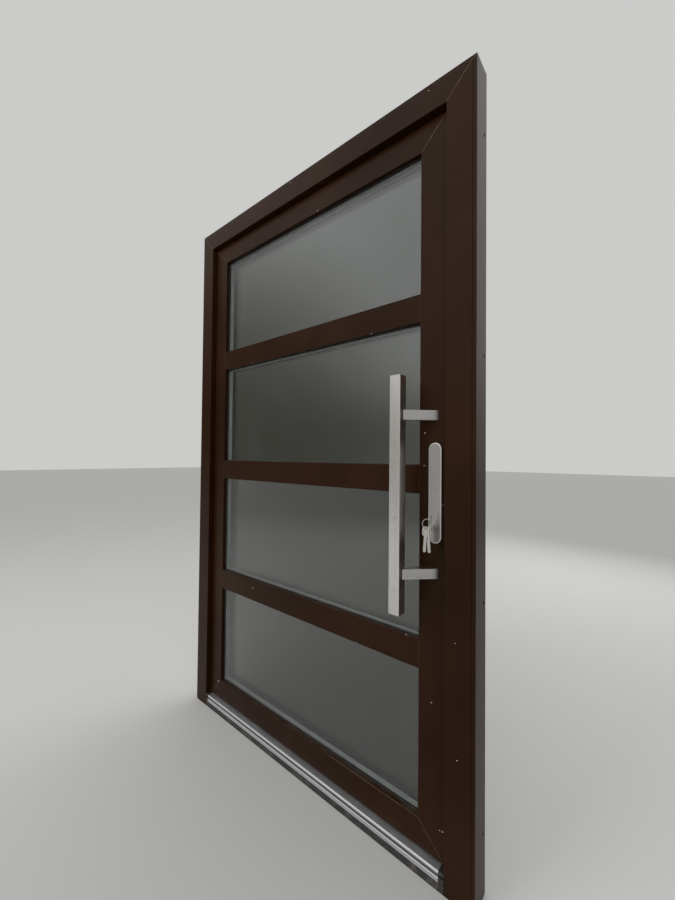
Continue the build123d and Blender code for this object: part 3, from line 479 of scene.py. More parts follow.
def anodisedProfile():
    # drawn threshold profile: die lines along it, its groove darkened almost to black as painted
    # shading with grime, dirty scuffs on the tread
    finish, tree, shader, place = newFinish("anodisedProfile", anodised["colour"],
                                            anodised["metallic"], anodised["roughness"])
    lines = speckle(tree, stretched(tree, place, anodised["lineScales"]), anodised["lines"])
    scuffs = speckle(tree, stretched(tree, place, anodised["scuffScales"]), anodised["scuffs"])
    axes = splitAxes(tree, place)
    # painted shading: the groove's recess is darkened almost to black, with some grime
    grooveShadeMask = product(tree, spread(tree, axes["Y"], *anodised["grooveFront"]),
                   calc(tree, "LESS_THAN", axes["Y"], anodised["grooveBack"]),
                   calc(tree, "GREATER_THAN", axes["Z"], anodised["grooveLow"]),
                   calc(tree, "LESS_THAN", axes["Z"], anodised["grooveHigh"]))
    patches = speckle(tree, place, anodised["patches"])
    stain = product(tree, spread(tree, patches, *anodised["patchRange"]),
                    spread(tree, scuffs, *anodised["scuffRange"]))
    dirtAndShade = calc(tree, "MAXIMUM", product(tree, grooveShadeMask, anodised["grooveShadeAndDirt"]),
                product(tree, stain, anodised["stainDirt"]))
    wire(shader, "Base Color", blendColours(tree, dirtAndShade, anodised["colour"], anodised["dirtAndShade"]))
    wire(shader, "Metallic",
         calc(tree, "MULTIPLY_ADD", dirtAndShade, -anodised["metallic"], anodised["metallic"]))
    rough = uneven(tree, lines, anodised["lineRoughness"], anodised["roughness"])
    wire(shader, "Roughness", calc(tree, "MULTIPLY_ADD", dirtAndShade, anodised["dirtRoughness"], rough))
    wire(shader, "Normal", bumped(tree, lines, anodised["lineDepth"]))
    return finish


glass = {
    "outerTint": (0.95, 0.975, 0.965, 1.0),
    # the inner pane is tinted almost black: painted shading for the dark room behind the door
    "innerTintPaintedShade": (0.052, 0.053, 0.047, 1.0),
    "index": 1.52,
    "dust": (0.45, 0.44, 0.41, 1.0),
    "dustTone": 2.0,
    "cloud": (9.0, 6.0, 0.62),
    "cloudRange": (0.45, 0.78),
    "grit": (420.0, 3.0, 0.6),
    "gritRange": (0.50, 0.72),
    "gritFilm": (0.018, 0.005),
}


def glassPane(name, tint, isDusty):
    # float glass, with a thin film of dust on the street side
    finish, tree, shader, place = newFinish(name, tint, 0.0, 0.0)
    wire(shader, "Transmission Weight", 1.0)
    wire(shader, "IOR", glass["index"])
    if isDusty:
        cloud = spread(tree, speckle(tree, place, glass["cloud"]), *glass["cloudRange"])
        grit = spread(tree, speckle(tree, place, glass["grit"]), *glass["gritRange"])
        film = product(tree, cloud, calc(tree, "MULTIPLY_ADD", grit, *glass["gritFilm"]))
        wire(shader, "Transmission Weight", calc(tree, "SUBTRACT", 1.0, film))
        wire(shader, "Base Color",
             blendColours(tree, product(tree, film, glass["dustTone"]), tint, glass["dust"]))
    return finish


spacer = {
    # near white and hardly metallic: painted light that makes up for the lamp light the glass
    # keeps off the spacer
    "colour": (0.93, 0.96, 0.94, 1.0),
    "hole": (0.10, 0.10, 0.10, 1.0),
    "metallic": 0.06,
    "roughness": 0.42,
    "pitch": 0.0042,
    "holeHalf": 0.00055,
    "rowOffset": 0.0032,
    "middle": 0.013,
}


def spacerMetal():
    # perforated spacer: two rows of small holes along each bar
    finish, tree, shader, place = newFinish("spacerMetal", spacer["colour"],
                                            spacer["metallic"], spacer["roughness"])
    axes = splitAxes(tree, place)
    row = calc(tree, "ABSOLUTE", calc(tree, "SUBTRACT", axes["Y"], spacer["middle"]))
    offRow = calc(tree, "ABSOLUTE", calc(tree, "SUBTRACT", row, spacer["rowOffset"]))
    step = calc(tree, "PINGPONG", calc(tree, "ADD", axes["X"], axes["Z"]), spacer["pitch"] / 2)
    hole = product(tree, calc(tree, "LESS_THAN", offRow, spacer["holeHalf"]),
                   calc(tree, "LESS_THAN", step, spacer["holeHalf"]))
    wire(shader, "Base Color", blendColours(tree, hole, spacer["colour"], spacer["hole"]))
    wire(shader, "Metallic",
         calc(tree, "MULTIPLY_ADD", hole, -spacer["metallic"], spacer["metallic"]))
    return finish


nickel = {
    "worn": (0.60, 0.50, 0.33, 1.0),
    "wornPlaces": (160.0, 5.0, 0.6),
    "wornRange": (0.50, 0.75),
    "roughness": 0.24,
    "scratchScales": (900.0, 900.0, 120.0),
    "scratches": (1.0, 4.0, 0.75),
    "scratchRoughness": (0.30, -0.12),
    "scratchDepth": 0.00002,
    "kinds": {
        "cylinderNickel": {"colour": (0.80, 0.79, 0.765, 1.0), "turn": 0.0, "wear": 0.05},
        "keyNickel": {"colour": (0.66, 0.645, 0.62, 1.0), "turn": 0.6, "wear": 0.25},
    },
}


def nickelPlate(name, kind):
    # scratched nickel, worn through to the brass in places
    finish, tree, shader, place = newFinish(name, kind["colour"], 1.0, nickel["roughness"])
    scratches = speckle(tree, stretched(tree, place, nickel["scratchScales"], kind["turn"]),
                        nickel["scratches"])
    rub = spread(tree, speckle(tree, place, nickel["wornPlaces"]), *nickel["wornRange"])
    wire(shader, "Base Color",
         blendColours(tree, product(tree, rub, kind["wear"]), kind["colour"], nickel["worn"]))
    wire(shader, "Roughness",
         uneven(tree, scratches, nickel["scratchRoughness"], nickel["roughness"]))
    wire(shader, "Normal", bumped(tree, scratches, nickel["scratchDepth"]))
    return finish


plainMetals = {
    "cloud": (90.0, 5.0, 0.6),
    "cloudRoughness": (0.25, -0.10),
    "grain": (500.0, 3.0, 0.5),
    "grainDepth": 0.00002,
    "kinds": {
        "ringSteel": {"colour": (0.60, 0.59, 0.57, 1.0), "roughness": 0.20},
        "screwSteel": {"colour": (0.58, 0.57, 0.55, 1.0), "roughness": 0.30},
        "castMetal": {"colour": (0.50, 0.50, 0.50, 1.0), "roughness": 0.45},
    },
}


def plainMetal(name, kind):
    finish, tree, shader, place = newFinish(name, kind["colour"], 1.0, kind["roughness"])
    cloud = speckle(tree, place, plainMetals["cloud"])
    wire(shader, "Roughness",
         uneven(tree, cloud, plainMetals["cloudRoughness"], kind["roughness"]))
    wire(shader, "Normal",
         bumped(tree, speckle(tree, place, plainMetals["grain"]), plainMetals["grainDepth"]))
    return finish


# Two colours in a cloud. The joint line finish is far lighter than the powder coat: a painted
# highlight on real strips along the mitre joints and the rail's edge
mottled = {
    "sealRubber": {
        "colours": ((0.014, 0.0135, 0.013, 1.0), (0.045, 0.043, 0.040, 1.0)),
        "cloud": (55.0, 5.0, 0.6), "range": (0.45, 0.75), "roughness": 0.52,
        "grain": (1400.0, 2.0, 0.5), "grainDepth": 0.00002,
    },
    "darkPlastic": {
        "colours": ((0.020, 0.018, 0.017, 1.0), (0.11, 0.10, 0.088, 1.0)),
        "cloud": (38.0, 6.0, 0.65), "range": (0.46, 0.78), "roughness": 0.50,
        "cloudRoughness": 0.25, "grain": (900.0, 3.0, 0.5), "grainDepth": 0.00006,
    },
    "paintedJointHighlight": {
        "colours": ((0.075, 0.046, 0.029, 1.0), (0.21, 0.142, 0.098, 1.0)),
        "cloud": (60.0, 3.0, 0.5), "range": (0.35, 0.65), "metallic": 0.35, "roughness": 0.32,
    },
    "bristle": {
        "colours": ((0.016, 0.0155, 0.015, 1.0), (0.06, 0.056, 0.05, 1.0)),
        "cloud": (700.0, 2.0, 0.5), "range": (0.4, 0.7), "roughness": 0.55,
    },
    "paintSpeck": {
        "colours": ((0.86, 0.84, 0.80, 1.0), (0.60, 0.57, 0.52, 1.0)),
        "cloud": (500.0, 3.0, 0.5), "range": (0.35, 0.7), "roughness": 0.62,
    },
}


def mottledFinish(name, kind):
    finish, tree, shader, place = newFinish(name, kind["colours"][0],
                                            kind.get("metallic", 0.0), kind["roughness"])
    cloud = spread(tree, speckle(tree, place, kind["cloud"]), *kind["range"])
    wire(shader, "Base Color", blendColours(tree, cloud, *kind["colours"]))
    if "cloudRoughness" in kind:
        wire(shader, "Roughness",
             calc(tree, "MULTIPLY_ADD", cloud, kind["cloudRoughness"], kind["roughness"]))
    if "grain" in kind:
        wire(shader, "Normal",
             bumped(tree, speckle(tree, place, kind["grain"]), kind["grainDepth"]))
    return finish


def makeFinishes():
    made = {
        "powderCoat": powderCoat(),
        "satinPlate": satinPlate(),
        "anodisedProfile": anodisedProfile(),
        "outerGlass": glassPane("outerGlass", glass["outerTint"], True),
        "innerGlass": glassPane("innerGlass", glass["innerTintPaintedShade"], False),
        "spacerMetal": spacerMetal(),
    }
    for maker, kinds in ((brushedSteel, stainless["kinds"]), (nickelPlate, nickel["kinds"]),
                         (plainMetal, plainMetals["kinds"]), (mottledFinish, mottled)):
        for name, kind in kinds.items():
            made[name] = maker(name, kind)
    return made


finishes = makeFinishes()

finishOfNode = {
    "powderCoat": ["frame_head", "frame_hinge_jamb", "frame_lock_jamb", "stile_hinge",
                   "stile_lock", "rail_top", "rail_bottom", "muntin_upper", "muntin_middle",
                   "muntin_lower", "glazing_beads", "hinge_frame_halves", "hinge_leaf_halves",
                   "hinge_pins"],
    "barSteel": ["pull_bar_outer", "pull_bar_inner", "bar_end_caps"],
    "outerSupportSteel": ["bar_supports_outer"],
    "innerSupportSteel": ["bar_supports_inner"],
    "stripSteel": ["lock_faceplate", "strike_plate", "deadbolt", "roller_slide", "roller"],
    "satinPlate": ["escutcheon_outer", "escutcheon_inner", "thumbturn"],
    "anodisedProfile": ["threshold"],
    "outerGlass": ["outer_pane_1", "outer_pane_2", "outer_pane_3", "outer_pane_4"],
    "innerGlass": ["inner_panes"],
    "sealRubber": ["frame_gasket", "leaf_gasket", "glazing_gaskets", "bottom_brush"],
    # the threshold base and the support pads are dark plastic whose darkness also paints the
    # shadow along the threshold's foot and at the supports' feet
    "darkPlastic": ["threshold_base", "threshold_end_caps", "setting_blocks", "hinge_bushes",
                    "bar_support_pads"],
    "spacerMetal": ["spacers"],
    "cylinderNickel": ["cylinder_body", "plug_outer", "cylinder_cam"],
    "keyNickel": ["key", "spare_key_1", "spare_key_2"],
    "ringSteel": ["key_ring"],
    "screwSteel": ["hinge_frame_screws", "hinge_leaf_screws", "strike_screws", "lock_screws",
                   "escutcheon_screws", "bar_studs"],
    "castMetal": ["frame_corner_cleats", "leaf_corner_cleats", "strike_blocks", "lock_case"],
}


def finishNodes():
    left = set(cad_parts)
    for finishName, nodeNames in finishOfNode.items():
        for nodeName in nodeNames:
            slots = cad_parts[nodeName].data.materials
            if len(slots) == 0:
                slots.append(finishes[finishName])
            for index in range(len(slots)):
                slots[index] = finishes[finishName]
            left.discard(nodeName)
    print("finishes on the CAD nodes, without one:", sorted(left))


finishNodes()


# Trees that repeat a part or sweep a section
meshing = {"roundingSteps": 3, "mergeDistance": 1e-6, "sharpAngle": math.radians(35.0)}


def newTree(name, sockets):
    # an empty tree with the named inputs, its input sockets and its result
    tree = bpy.data.node_groups.new(name, "GeometryNodeTree")
    sockets = {"Geometry": "Geometry", **sockets, "Finish": "Material"}
    for label, kind in sockets.items():
        tree.interface.new_socket(label, in_out="INPUT", socket_type="NodeSocket" + kind)
    tree.interface.new_socket("Geometry", in_out="OUTPUT", socket_type="NodeSocketGeometry")
    given = tree.nodes.new("NodeGroupInput").outputs
    return tree, given, tree.nodes.new("NodeGroupOutput").inputs


def painted(tree, geometry, given, result):
    # realised and with its material, then given out
    whole = addNode(tree, "GeometryNodeRealizeInstances", {"Geometry": geometry})
    made = addNode(tree, "GeometryNodeSetMaterial",
                   {"Geometry": whole.outputs[0], "Material": given["Finish"]})
    tree.links.new(made.outputs[0], result[0])
    return tree


def repeatTree():
    # one part on every point, turned and sized as the point says, with some chance
    tree, given, result = newTree("repeatedPart", {
        "Part": "Object", "Spin": "Float", "Lean": "Float", "Seed": "Int"})
    part = addNode(tree, "GeometryNodeObjectInfo", {"Object": given["Part"]})
    turn = addNode(tree, "GeometryNodeInputNamedAttribute", {"Name": "turn"},
                   data_type="FLOAT_VECTOR")
    size = addNode(tree, "GeometryNodeInputNamedAttribute", {"Name": "size"}, data_type="FLOAT")
    most = addNode(tree, "ShaderNodeCombineXYZ",
                   {"X": given["Lean"], "Y": given["Lean"], "Z": given["Spin"]})
    least = addNode(tree, "ShaderNodeVectorMath", {"Scale": -1.0}, operation="SCALE")
    feed(tree, least.inputs[0], most.outputs[0])
    chance = addNode(tree, "FunctionNodeRandomValue", {"Seed": given["Seed"]},
                     data_type="FLOAT_VECTOR")
    feed(tree, chance.inputs[0], least.outputs[0])
    feed(tree, chance.inputs[1], most.outputs[0])
    facing = addNode(tree, "FunctionNodeEulerToRotation", {"Euler": turn.outputs["Attribute"]})
    shake = addNode(tree, "FunctionNodeEulerToRotation", {"Euler": chance.outputs[0]})
    turned = addNode(tree, "FunctionNodeRotateRotation",
                     {"Rotation": facing.outputs[0], "Rotate By": shake.outputs[0]},
                     rotation_space="LOCAL")
    points = addNode(tree, "GeometryNodeMeshToPoints", {"Mesh": given["Geometry"]})
    copies = addNode(tree, "GeometryNodeInstanceOnPoints",
                     {"Points": points.outputs[0], "Instance": part.outputs["Geometry"],
                      "Rotation": turned.outputs[0], "Scale": size.outputs["Attribute"]})
    return painted(tree, copies.outputs[0], given, result)


def sweepTree():
    # a rounded section along the mesh's edges; Deep is along Y, Wide across the path
    tree, given, result = newTree("sweptSection", {
        "Deep": "Float", "Wide": "Float", "Rounding": "Float"})
    path = addNode(tree, "GeometryNodeMeshToCurve", {"Mesh": given["Geometry"]})
    section = addNode(tree, "GeometryNodeCurvePrimitiveQuadrilateral",
                      {"Width": given["Deep"], "Height": given["Wide"]})
    eased = addNode(tree, "GeometryNodeFilletCurve",
                    {"Curve": section.outputs[0], "Radius": given["Rounding"],
                     "Count": meshing["roundingSteps"]}, mode="POLY")
    swept = addNode(tree, "GeometryNodeCurveToMesh",
                    {"Curve": path.outputs[0], "Profile Curve": eased.outputs[0],
                     "Fill Caps": True})
    return painted(tree, swept.outputs[0], given, result)


trees = {"repeat": repeatTree(), "sweep": sweepTree()}


def grow(name, mesh, treeName, values):
    # runs a tree on a mesh and keeps the result as a plain mesh
    tree = trees[treeName]
    piece = newObject(name, mesh)
    modifier = piece.modifiers.new(treeName, "NODES")
    modifier.node_group = tree
    for item in tree.interface.items_tree:
        if item.in_out == "INPUT" and item.name in values:
            modifier[item.identifier] = values[item.name]
    bpy.context.view_layer.update()
    graph = bpy.context.evaluated_depsgraph_get()
    made = bpy.data.meshes.new_from_object(piece.evaluated_get(graph))
    piece.modifiers.remove(modifier)
    piece.data = made
    made.name = name
    made.materials.clear()
    made.materials.append(values["Finish"])
    made.polygons.foreach_set("material_index", [0] * len(made.polygons))
    tidyMesh(made)
    return piece


def tidyMesh(mesh):
    # doubles merged, faces outwards, edges sharp past an angle
    work = bmesh.new()
    work.from_mesh(mesh)
    bmesh.ops.remove_doubles(work, verts=work.verts, dist=meshing["mergeDistance"])
    bmesh.ops.recalc_face_normals(work, faces=work.faces)
    work.to_mesh(mesh)
    work.free()
    mesh.shade_smooth()
    mesh.set_sharp_from_angle(angle=meshing["sharpAngle"])


def pointSet(name, places, turns, sizes):
    mesh = bpy.data.meshes.new(name)
    mesh.from_pydata([tuple(place) for place in places], [], [])
    mesh.attributes.new("turn", "FLOAT_VECTOR", "POINT")
    mesh.attributes.new("size", "FLOAT", "POINT")
    for index in range(len(places)):
        mesh.attributes["turn"].data[index].vector = turns[index]
        mesh.attributes["size"].data[index].value = sizes[index]
    return mesh


def pathSet(name, paths, closed):
    mesh = bpy.data.meshes.new(name)
    points, edges = [], []
    for path in paths:
        first = len(points)
        points += [tuple(point) for point in path]
        edges += [(first + index, first + index + 1) for index in range(len(path) - 1)]
        if closed:
            edges.append((first + len(path) - 1, first))
    mesh.from_pydata(points, edges, [])
    return mesh


def partObject(name, work):
    # a part for the repeating tree; it is removed once the tree has run
    bmesh.ops.recalc_face_normals(work, faces=work.faces)
    mesh = bpy.data.meshes.new(name)
    work.to_mesh(mesh)
    work.free()
    return newObject(name, mesh)


def oneMesh(name, pieces):
    # several pieces made one, with their finishes
    work = bmesh.new()
    kept = []
    for piece in pieces:
        finish = piece.data.materials[0]
        if finish not in kept:
            kept.append(finish)
        before = len(work.faces)
        work.from_mesh(piece.data)
        work.faces.ensure_lookup_table()
        for face in work.faces[before:]:
            face.material_index = kept.index(finish)
    mesh = bpy.data.meshes.new(name)
    work.to_mesh(mesh)
    work.free()
    for finish in kept:
        mesh.materials.append(finish)
    for piece in pieces:
        bpy.data.objects.remove(piece)
    return newObject(name, mesh)


# Joint lines where profiles meet, and one along the bottom rail's edge, in a painted highlight
# colour
jointLines = {
    "width": 0.0009,
    "proud": 0.00014,
    "roundingShare": 0.6,
    "endGap": 0.0006,
    "lipWidth": 0.010,
    "lipStep": 0.002,
    # inset and start of the painted highlight along the bottom rail's edge
    "edgeHighlightInset": 0.0011,
    "edgeHighlightFrom": 0.14,
}


def frameJoints():
    front, lip = door["frontOfFrame"], door["frontOfFrame"] + jointLines["lipStep"]
    edge = door["frameHalf"] - jointLines["lipWidth"]
    lipTop = door["frameTop"] - jointLines["lipWidth"]
    lines = []
    for side in (1, -1):
        lines.append([(side * door["inFrame"], front, door["inFrameTop"]),
                      (side * edge, front, lipTop)])
        lines.append([(side * edge, lip, lipTop),
                      (side * door["frameHalf"], lip, door["frameTop"])])
    return lines


def leafJoints():
    front = door["frontOfLeaf"]
    lines = []
    for side in (1, -1):
        outer, inner = side * door["leafHalf"], side * door["sightHalf"]
        lines.append([(outer, front, door["leafBottom"]), (inner, front, door["sightBottom"])])
        lines.append([(outer, front, door["leafTop"]), (inner, front, door["sightTop"])])
        for below, low in paneHeights()[:-1]:
            lines.append([(inner, front, low), (inner, front, low + door["muntinFace"])])
    # a painted highlight along the bottom rail's edge under the glass, on the lock side
    edgeLevel = door["sightBottom"] - jointLines["edgeHighlightInset"]
    lines.append([(jointLines["edgeHighlightFrom"], front, edgeLevel),
                  (door["sightHalf"] - jointLines["edgeHighlightInset"], front, edgeLevel)])
    return lines


def shortened(line):
    start, end = Vector(line[0]), Vector(line[1])
    step = (end - start).normalized() * jointLines["endGap"]
    return [start + step, end - step]


def addJointLines():
    proud = jointLines["proud"]
    for name, lines, body in (("frameJointLines", frameJoints(), "frame"),
                              ("leafJointLines", leafJoints(), "leaf")):
        piece = grow(name, pathSet(name, [shortened(line) for line in lines], False), "sweep",
                     {"Deep": 2 * proud, "Wide": jointLines["width"],
                      "Rounding": proud * jointLines["roundingShare"],
                      "Finish": finishes["paintedJointHighlight"]})
        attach(piece, body)


def paneHeights():
    # bottom and top of each pane's opening
    count = door["paneCount"]
    clear = (door["sightTop"] - door["sightBottom"] - (count - 1) * door["muntinFace"]) / count
    bottoms = [door["sightBottom"] + index * (clear + door["muntinFace"])
               for index in range(count)]
    return [(bottom, bottom + clear) for bottom in bottoms]


addJointLines()
print("joint lines laid")


# Glazing seals with a rounded lip
seals = {"show": 0.0015, "height": 0.008, "rounding": 0.0007, "corner": 0.0028, "cornerSteps": 4}


def roundedLoop(half, low, high, y, radius):
    steps = seals["cornerSteps"]
    inLow, inHigh = low + radius, high - radius
    points = []
    for side, level, start in ((1, inHigh, 90), (1, inLow, 0), (-1, inLow, -90),
                               (-1, inHigh, -180)):
        centre = Vector((side * (half - radius), y, level))
        for step in range(steps + 1):
            angle = math.radians(start - 90.0 * step / steps)
            points.append(centre + Vector((math.cos(angle), 0.0, math.sin(angle))) * radius)
    return points


def addSeals():
    low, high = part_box("glazing_gaskets")
    glassFront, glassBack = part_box("outer_pane_1")[0].y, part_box("inner_panes")[1].y
    middle = seals["height"] / 2 - seals["show"]
    made = []
    for name, start, end in (("outerSeals", low.y, glassFront),
                             ("innerSeals", glassBack, high.y)):
        loops = [roundedLoop(door["sightHalf"] + middle, bottom - middle, top + middle,
                             (start + end) / 2, seals["corner"] + middle)
                 for bottom, top in paneHeights()]
        made.append(grow(name, pathSet(name, loops, True), "sweep",
                         {"Deep": end - start, "Wide": seals["height"],
                          "Rounding": seals["rounding"], "Finish": finishes["sealRubber"]}))
    piece = oneMesh("glazingSeals", made)
    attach(piece, "leaf")
    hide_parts("glazing_gaskets")


addSeals()
print("glazing seals swept")


# Countersunk screws with a cross recess
hingeScrewHeights = (0.190, 0.270, 0.950, 1.030, 1.710, 1.790)
screws = {
    "sides": 24,
    "driveShare": 0.52,      # the recess against the head's radius
    "driveFloor": 0.62,      # its floor against its top
    "driveArm": 0.28,        # half the width of an arm against its reach
    "driveDepth": 0.0014,
    "driveDepthShare": 0.32,
    "threadPitch": 0.0011,
    "threadDepth": 0.16,
    "threadEnd": 1.5,
    "tipShare": 0.5,
    "rim": 0.00012,
    "seed": 5,
    "sets": {
        "hinge_frame_screws": {
            "body": "frame", "head": 0.0046, "shank": 0.0024, "length": 0.016,
            "turn": (-90, 0), "x": -0.577, "y": 0.040, "heights": hingeScrewHeights},
        "hinge_leaf_screws": {
            "body": "leaf", "head": 0.0046, "shank": 0.0024, "length": 0.016,
            "turn": (-90, 0), "x": -0.506, "y": 0.050, "heights": hingeScrewHeights},
        "strike_screws": {
            "body": "frame", "head": 0.0040, "shank": 0.0024, "length": 0.016,
            "turn": (0, -90), "x": 0.532, "y": 0.020, "heights": (0.889, 1.031)},
        "lock_screws": {
            "body": "leaf", "head": 0.0040, "shank": 0.0024, "length": 0.016,
            "turn": (0, 90), "x": 0.528, "y": 0.020, "heights": (0.794, 1.036)},
        "cylinder_screw": {
            "body": "leaf", "head": 0.0025, "shank": 0.0024, "length": 0.040,
            "turn": (0, 90), "x": 0.528, "y": 0.020, "heights": (0.8775,)},
        "escutcheon_screws": {
            "body": "leaf", "head": 0.0046, "shank": 0.0025, "length": 0.074,
            "turn": (-90, 0), "x": 0.493, "y": 0.053, "heights": (0.852, 1.066)},
    },
}


def crossRadius(angle, arm):
    # outline of a cross recess in polar form
    turned = angle % (math.pi / 2)
    nearest = max(min(turned, math.pi / 2 - turned), 1e-6)
    return min(arm, arm * screws["driveArm"] / math.sin(nearest))


def screwRings(facts):
    # radius and height of each ring from the recess to the tip, and whether it is the cross
    head, shank, length = facts["head"], facts["shank"], facts["length"]
    depth = min(screws["driveDepth"], head * screws["driveDepthShare"])
    rings = [(screws["driveFloor"], -depth, True), (1.0, 0.0, True),
             (head - screws["rim"], 0.0, False), (head, -screws["rim"], False)]
    level = -max(head - shank, 2 * screws["rim"])
    rings.append((shank, level, False))
    while level > -(length - screws["threadEnd"] * screws["threadPitch"]):
        rings.append((shank * (1.0 - screws["threadDepth"]), level - screws["threadPitch"] / 2,
                      False))
        rings.append((shank, level - screws["threadPitch"], False))
        level -= screws["threadPitch"]
    return rings + [(shank * screws["tipShare"], -length, False)]


def screwPart(name, facts):
    arm = facts["head"] * screws["driveShare"]
    work = bmesh.new()
    loops = []
    for radius, height, isCross in screwRings(facts):
        loop = []
        for index in range(screws["sides"]):
            angle = 2 * math.pi * index / screws["sides"]
            reach = radius * crossRadius(angle, arm) if isCross else radius
            loop.append(work.verts.new((reach * math.cos(angle), reach * math.sin(angle),
                                        height)))
        loops.append(loop)
    for upper, lower in zip(loops, loops[1:]):
        for index in range(len(upper)):
            follow = (index + 1) % len(upper)
            work.faces.new((upper[index], lower[index], lower[follow], upper[follow]))
    work.faces.new(loops[0])
    work.faces.new(list(reversed(loops[-1])))
    return partObject(name, work)


def addScrews():
    made = {}
    for name, facts in screws["sets"].items():
        part = screwPart(name + "Part", facts)
        turnX, turnY = (math.radians(value) for value in facts["turn"])
        places = [(facts["x"], facts["y"], height) for height in facts["heights"]]
        mesh = pointSet(name, places, [(turnX, turnY, 0.0)] * len(places), [1.0] * len(places))
        made[name] = grow(name + "Cut", mesh, "repeat",
                          {"Part": part, "Spin": math.pi, "Lean": 0.0, "Seed": screws["seed"],
                           "Finish": finishes["screwSteel"]})
        bpy.data.objects.remove(part)
    made["lock_screws"] = oneMesh("lock_screwsCut",
                                  [made["lock_screws"], made.pop("cylinder_screw")])
    for name, piece in made.items():
        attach(piece, screws["sets"][name]["body"])
        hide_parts(name)
    print(len(made), "sets of screws cut")


addScrews()


# Weather brush under the leaf
brush = {
    "carrierHeight": 0.0016,
    "carrierRounding": 0.0003,
    "rows": 3,
    "rowStep": 0.00115,
    "pitch": 0.0024,
    "rootSink": 0.0002,
    "tipRoom": 0.0003,
    "sizes": (0.92, 1.0),
    "lean": 0.09,
    "seed": 11,
}

# shares below belong to the first bristle and what each further one adds
tuft = {
    "bristles": 5,
    "sides": 3,
    "radius": 0.00075,
    "bristleRadius": 0.00022,
    "reachShare": (0.25, 0.15),
    "lengthShare": (0.90, 0.02),
    "splay": 1.5,
    "taper": 0.7,
}


def tuftPart(length):
    # a few pointed bristles, hanging from the origin
    work = bmesh.new()
    for index in range(tuft["bristles"]):
        reach, drop = (tuft[key][0] + tuft[key][1] * index
                       for key in ("reachShare", "lengthShare"))
        turn = 2 * math.pi * index / tuft["bristles"]
        centre = Vector((math.cos(turn), math.sin(turn), 0.0)) * tuft["radius"] * reach
        tip = centre * tuft["splay"] + Vector((0.0, 0.0, -length * drop))
        corners = []
        for corner in range(tuft["sides"]):
            angle = turn + 2 * math.pi * corner / tuft["sides"]
            offset = Vector((math.cos(angle), math.sin(angle), 0.0)) * tuft["bristleRadius"]
            corners.append((work.verts.new(centre + offset),
                            work.verts.new(tip + offset * tuft["taper"])))
        for first, second in zip(corners, corners[1:] + corners[:1]):
            work.faces.new((first[0], first[1], second[1], second[0]))
        work.faces.new([pair[0] for pair in corners])
        work.faces.new([pair[1] for pair in reversed(corners)])
    return partObject("tuft", work)


def addBrush():
    low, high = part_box("bottom_brush")
    middle = (low.y + high.y) / 2
    top = high.z - brush["carrierHeight"]
    places = []
    for row in range(brush["rows"]):
        y = middle + (row - (brush["rows"] - 1) / 2) * brush["rowStep"]
        x = low.x + brush["pitch"] * (0.5 + row / brush["rows"])
        while x < high.x - brush["pitch"] / 2:
            places.append((x, y, top + brush["rootSink"]))
            x += brush["pitch"]
    part = tuftPart(top - low.z - brush["tipRoom"])
    random.seed(brush["seed"])
    sizes = [random.uniform(*brush["sizes"]) for place in places]
    mesh = pointSet("tufts", places, [(0.0, 0.0, 0.0)] * len(places), sizes)
    bristles = grow("tufts", mesh, "repeat", {
        "Part": part, "Spin": math.pi, "Lean": brush["lean"], "Seed": brush["seed"],
        "Finish": finishes["bristle"]})
    bpy.data.objects.remove(part)
    level = high.z - brush["carrierHeight"] / 2
    carrier = grow("brushCarrier",
                   pathSet("brushCarrier", [[(low.x, middle, level), (high.x, middle, level)]],
                           False), "sweep",
                   {"Deep": high.y - low.y, "Wide": brush["carrierHeight"],
                    "Rounding": brush["carrierRounding"], "Finish": finishes["darkPlastic"]})
    piece = oneMesh("weatherBrush", [carrier, bristles])
    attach(piece, "leaf")
    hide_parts("bottom_brush")
    print("weather brush with", len(places), "tufts")


addBrush()


# Split ring of flat wire, two turns on each other
ring = {
    "radius": 0.0115,
    "axial": 0.00069,
    "radial": 0.0014,
    "rounding": 0.00016,
    "turn": math.radians(33.0),
    # degrees along the wire: where it steps over to the second turn, and its end
    "stepStart": 340.0,
    "stepEnd": 362.0,
    "end": 698.0,
    "startAt": 205.0,
    "degreesEach": 5.0,
}


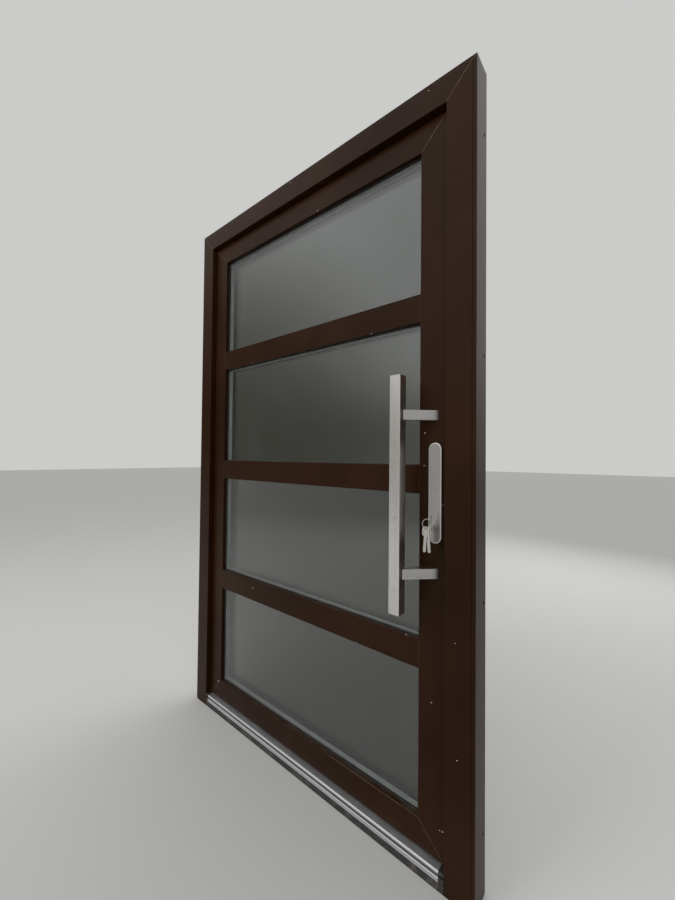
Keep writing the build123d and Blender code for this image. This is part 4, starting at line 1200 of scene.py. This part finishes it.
def addSplitRing():
    low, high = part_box("key_ring")
    centre = (low + high) / 2
    along = Vector((math.cos(ring["turn"]), math.sin(ring["turn"]), 0.0))
    across = Vector((-along.y, along.x, 0.0))
    points = []
    angle = 0.0
    while angle <= ring["end"]:
        share = (angle - ring["stepStart"]) / (ring["stepEnd"] - ring["stepStart"])
        share = min(max(share, 0.0), 1.0)
        layer = (share * share * (3 - 2 * share) - 0.5) * ring["axial"]
        place = math.radians(ring["startAt"] + angle)
        points.append(centre + (along * math.cos(place) + Vector((0.0, 0.0, math.sin(place))))
                      * ring["radius"] + across * layer)
        angle += ring["degreesEach"]
    piece = grow("splitRing", pathSet("splitRing", [points], False), "sweep",
                 {"Deep": ring["axial"], "Wide": ring["radial"],
                  "Rounding": ring["rounding"], "Finish": finishes["ringSteel"]})
    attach(piece, "key_ring")
    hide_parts("key_ring")


addSplitRing()
print("split ring wound")


# Paint specks: pixel of the photograph and size in metres
specks = {
    "leaf": [(425, 433, 0.0016), (424.3, 465.7, 0.0014), (442.9, 505, 0.0011),
             (371.6, 333.8, 0.0013), (251.6, 363.2, 0.0014), (218.3, 680.9, 0.0026),
             (356.4, 642.5, 0.0011), (406.2, 634.8, 0.0013), (252.6, 587.8, 0.0019),
             (431.4, 702.7, 0.0013), (439.7, 830.5, 0.0013), (442.5, 831.9, 0.0015),
             (317.7, 210.9, 0.0017)],
    "pane": [(295.2, 725.2, 0.0014), (401.4, 725.7, 0.0013), (322, 666, 0.0010),
             (393.6, 176.1, 0.0010)],
    "frame": [(290.4, 182.8, 0.0014), (428.8, 90.7, 0.0012), (455, 643.6, 0.0010),
              (456.9, 760.7, 0.0012)],
    "flatness": 0.22,
    "seed": 3,
}


def speckPart():
    work = bmesh.new()
    bmesh.ops.create_icosphere(work, subdivisions=1, radius=1.0)
    for corner in work.verts:
        corner.co.z *= specks["flatness"]
    return partObject("speckPart", work)


def addSpecks():
    part = speckPart()
    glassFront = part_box("outer_pane_1")[0].y
    sets = {
        "leafSpecks": ("leaf", [(spot, door["frontOfLeaf"]) for spot in specks["leaf"]]
                       + [(spot, glassFront) for spot in specks["pane"]]),
        "frameSpecks": ("frame", [(spot, door["frontOfFrame"]) for spot in specks["frame"]]),
    }
    for name, (body, spots) in sets.items():
        places = [seenAt(spot[0], spot[1], planeY) for spot, planeY in spots]
        sizes = [spot[2] for spot, planeY in spots]
        mesh = pointSet(name, places, [(math.radians(90.0), 0.0, 0.0)] * len(places), sizes)
        piece = grow(name, mesh, "repeat", {
            "Part": part, "Spin": math.pi, "Lean": 0.0, "Seed": specks["seed"],
            "Finish": finishes["paintSpeck"]})
        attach(piece, body)
    bpy.data.objects.remove(part)


addSpecks()
print("paint specks placed")
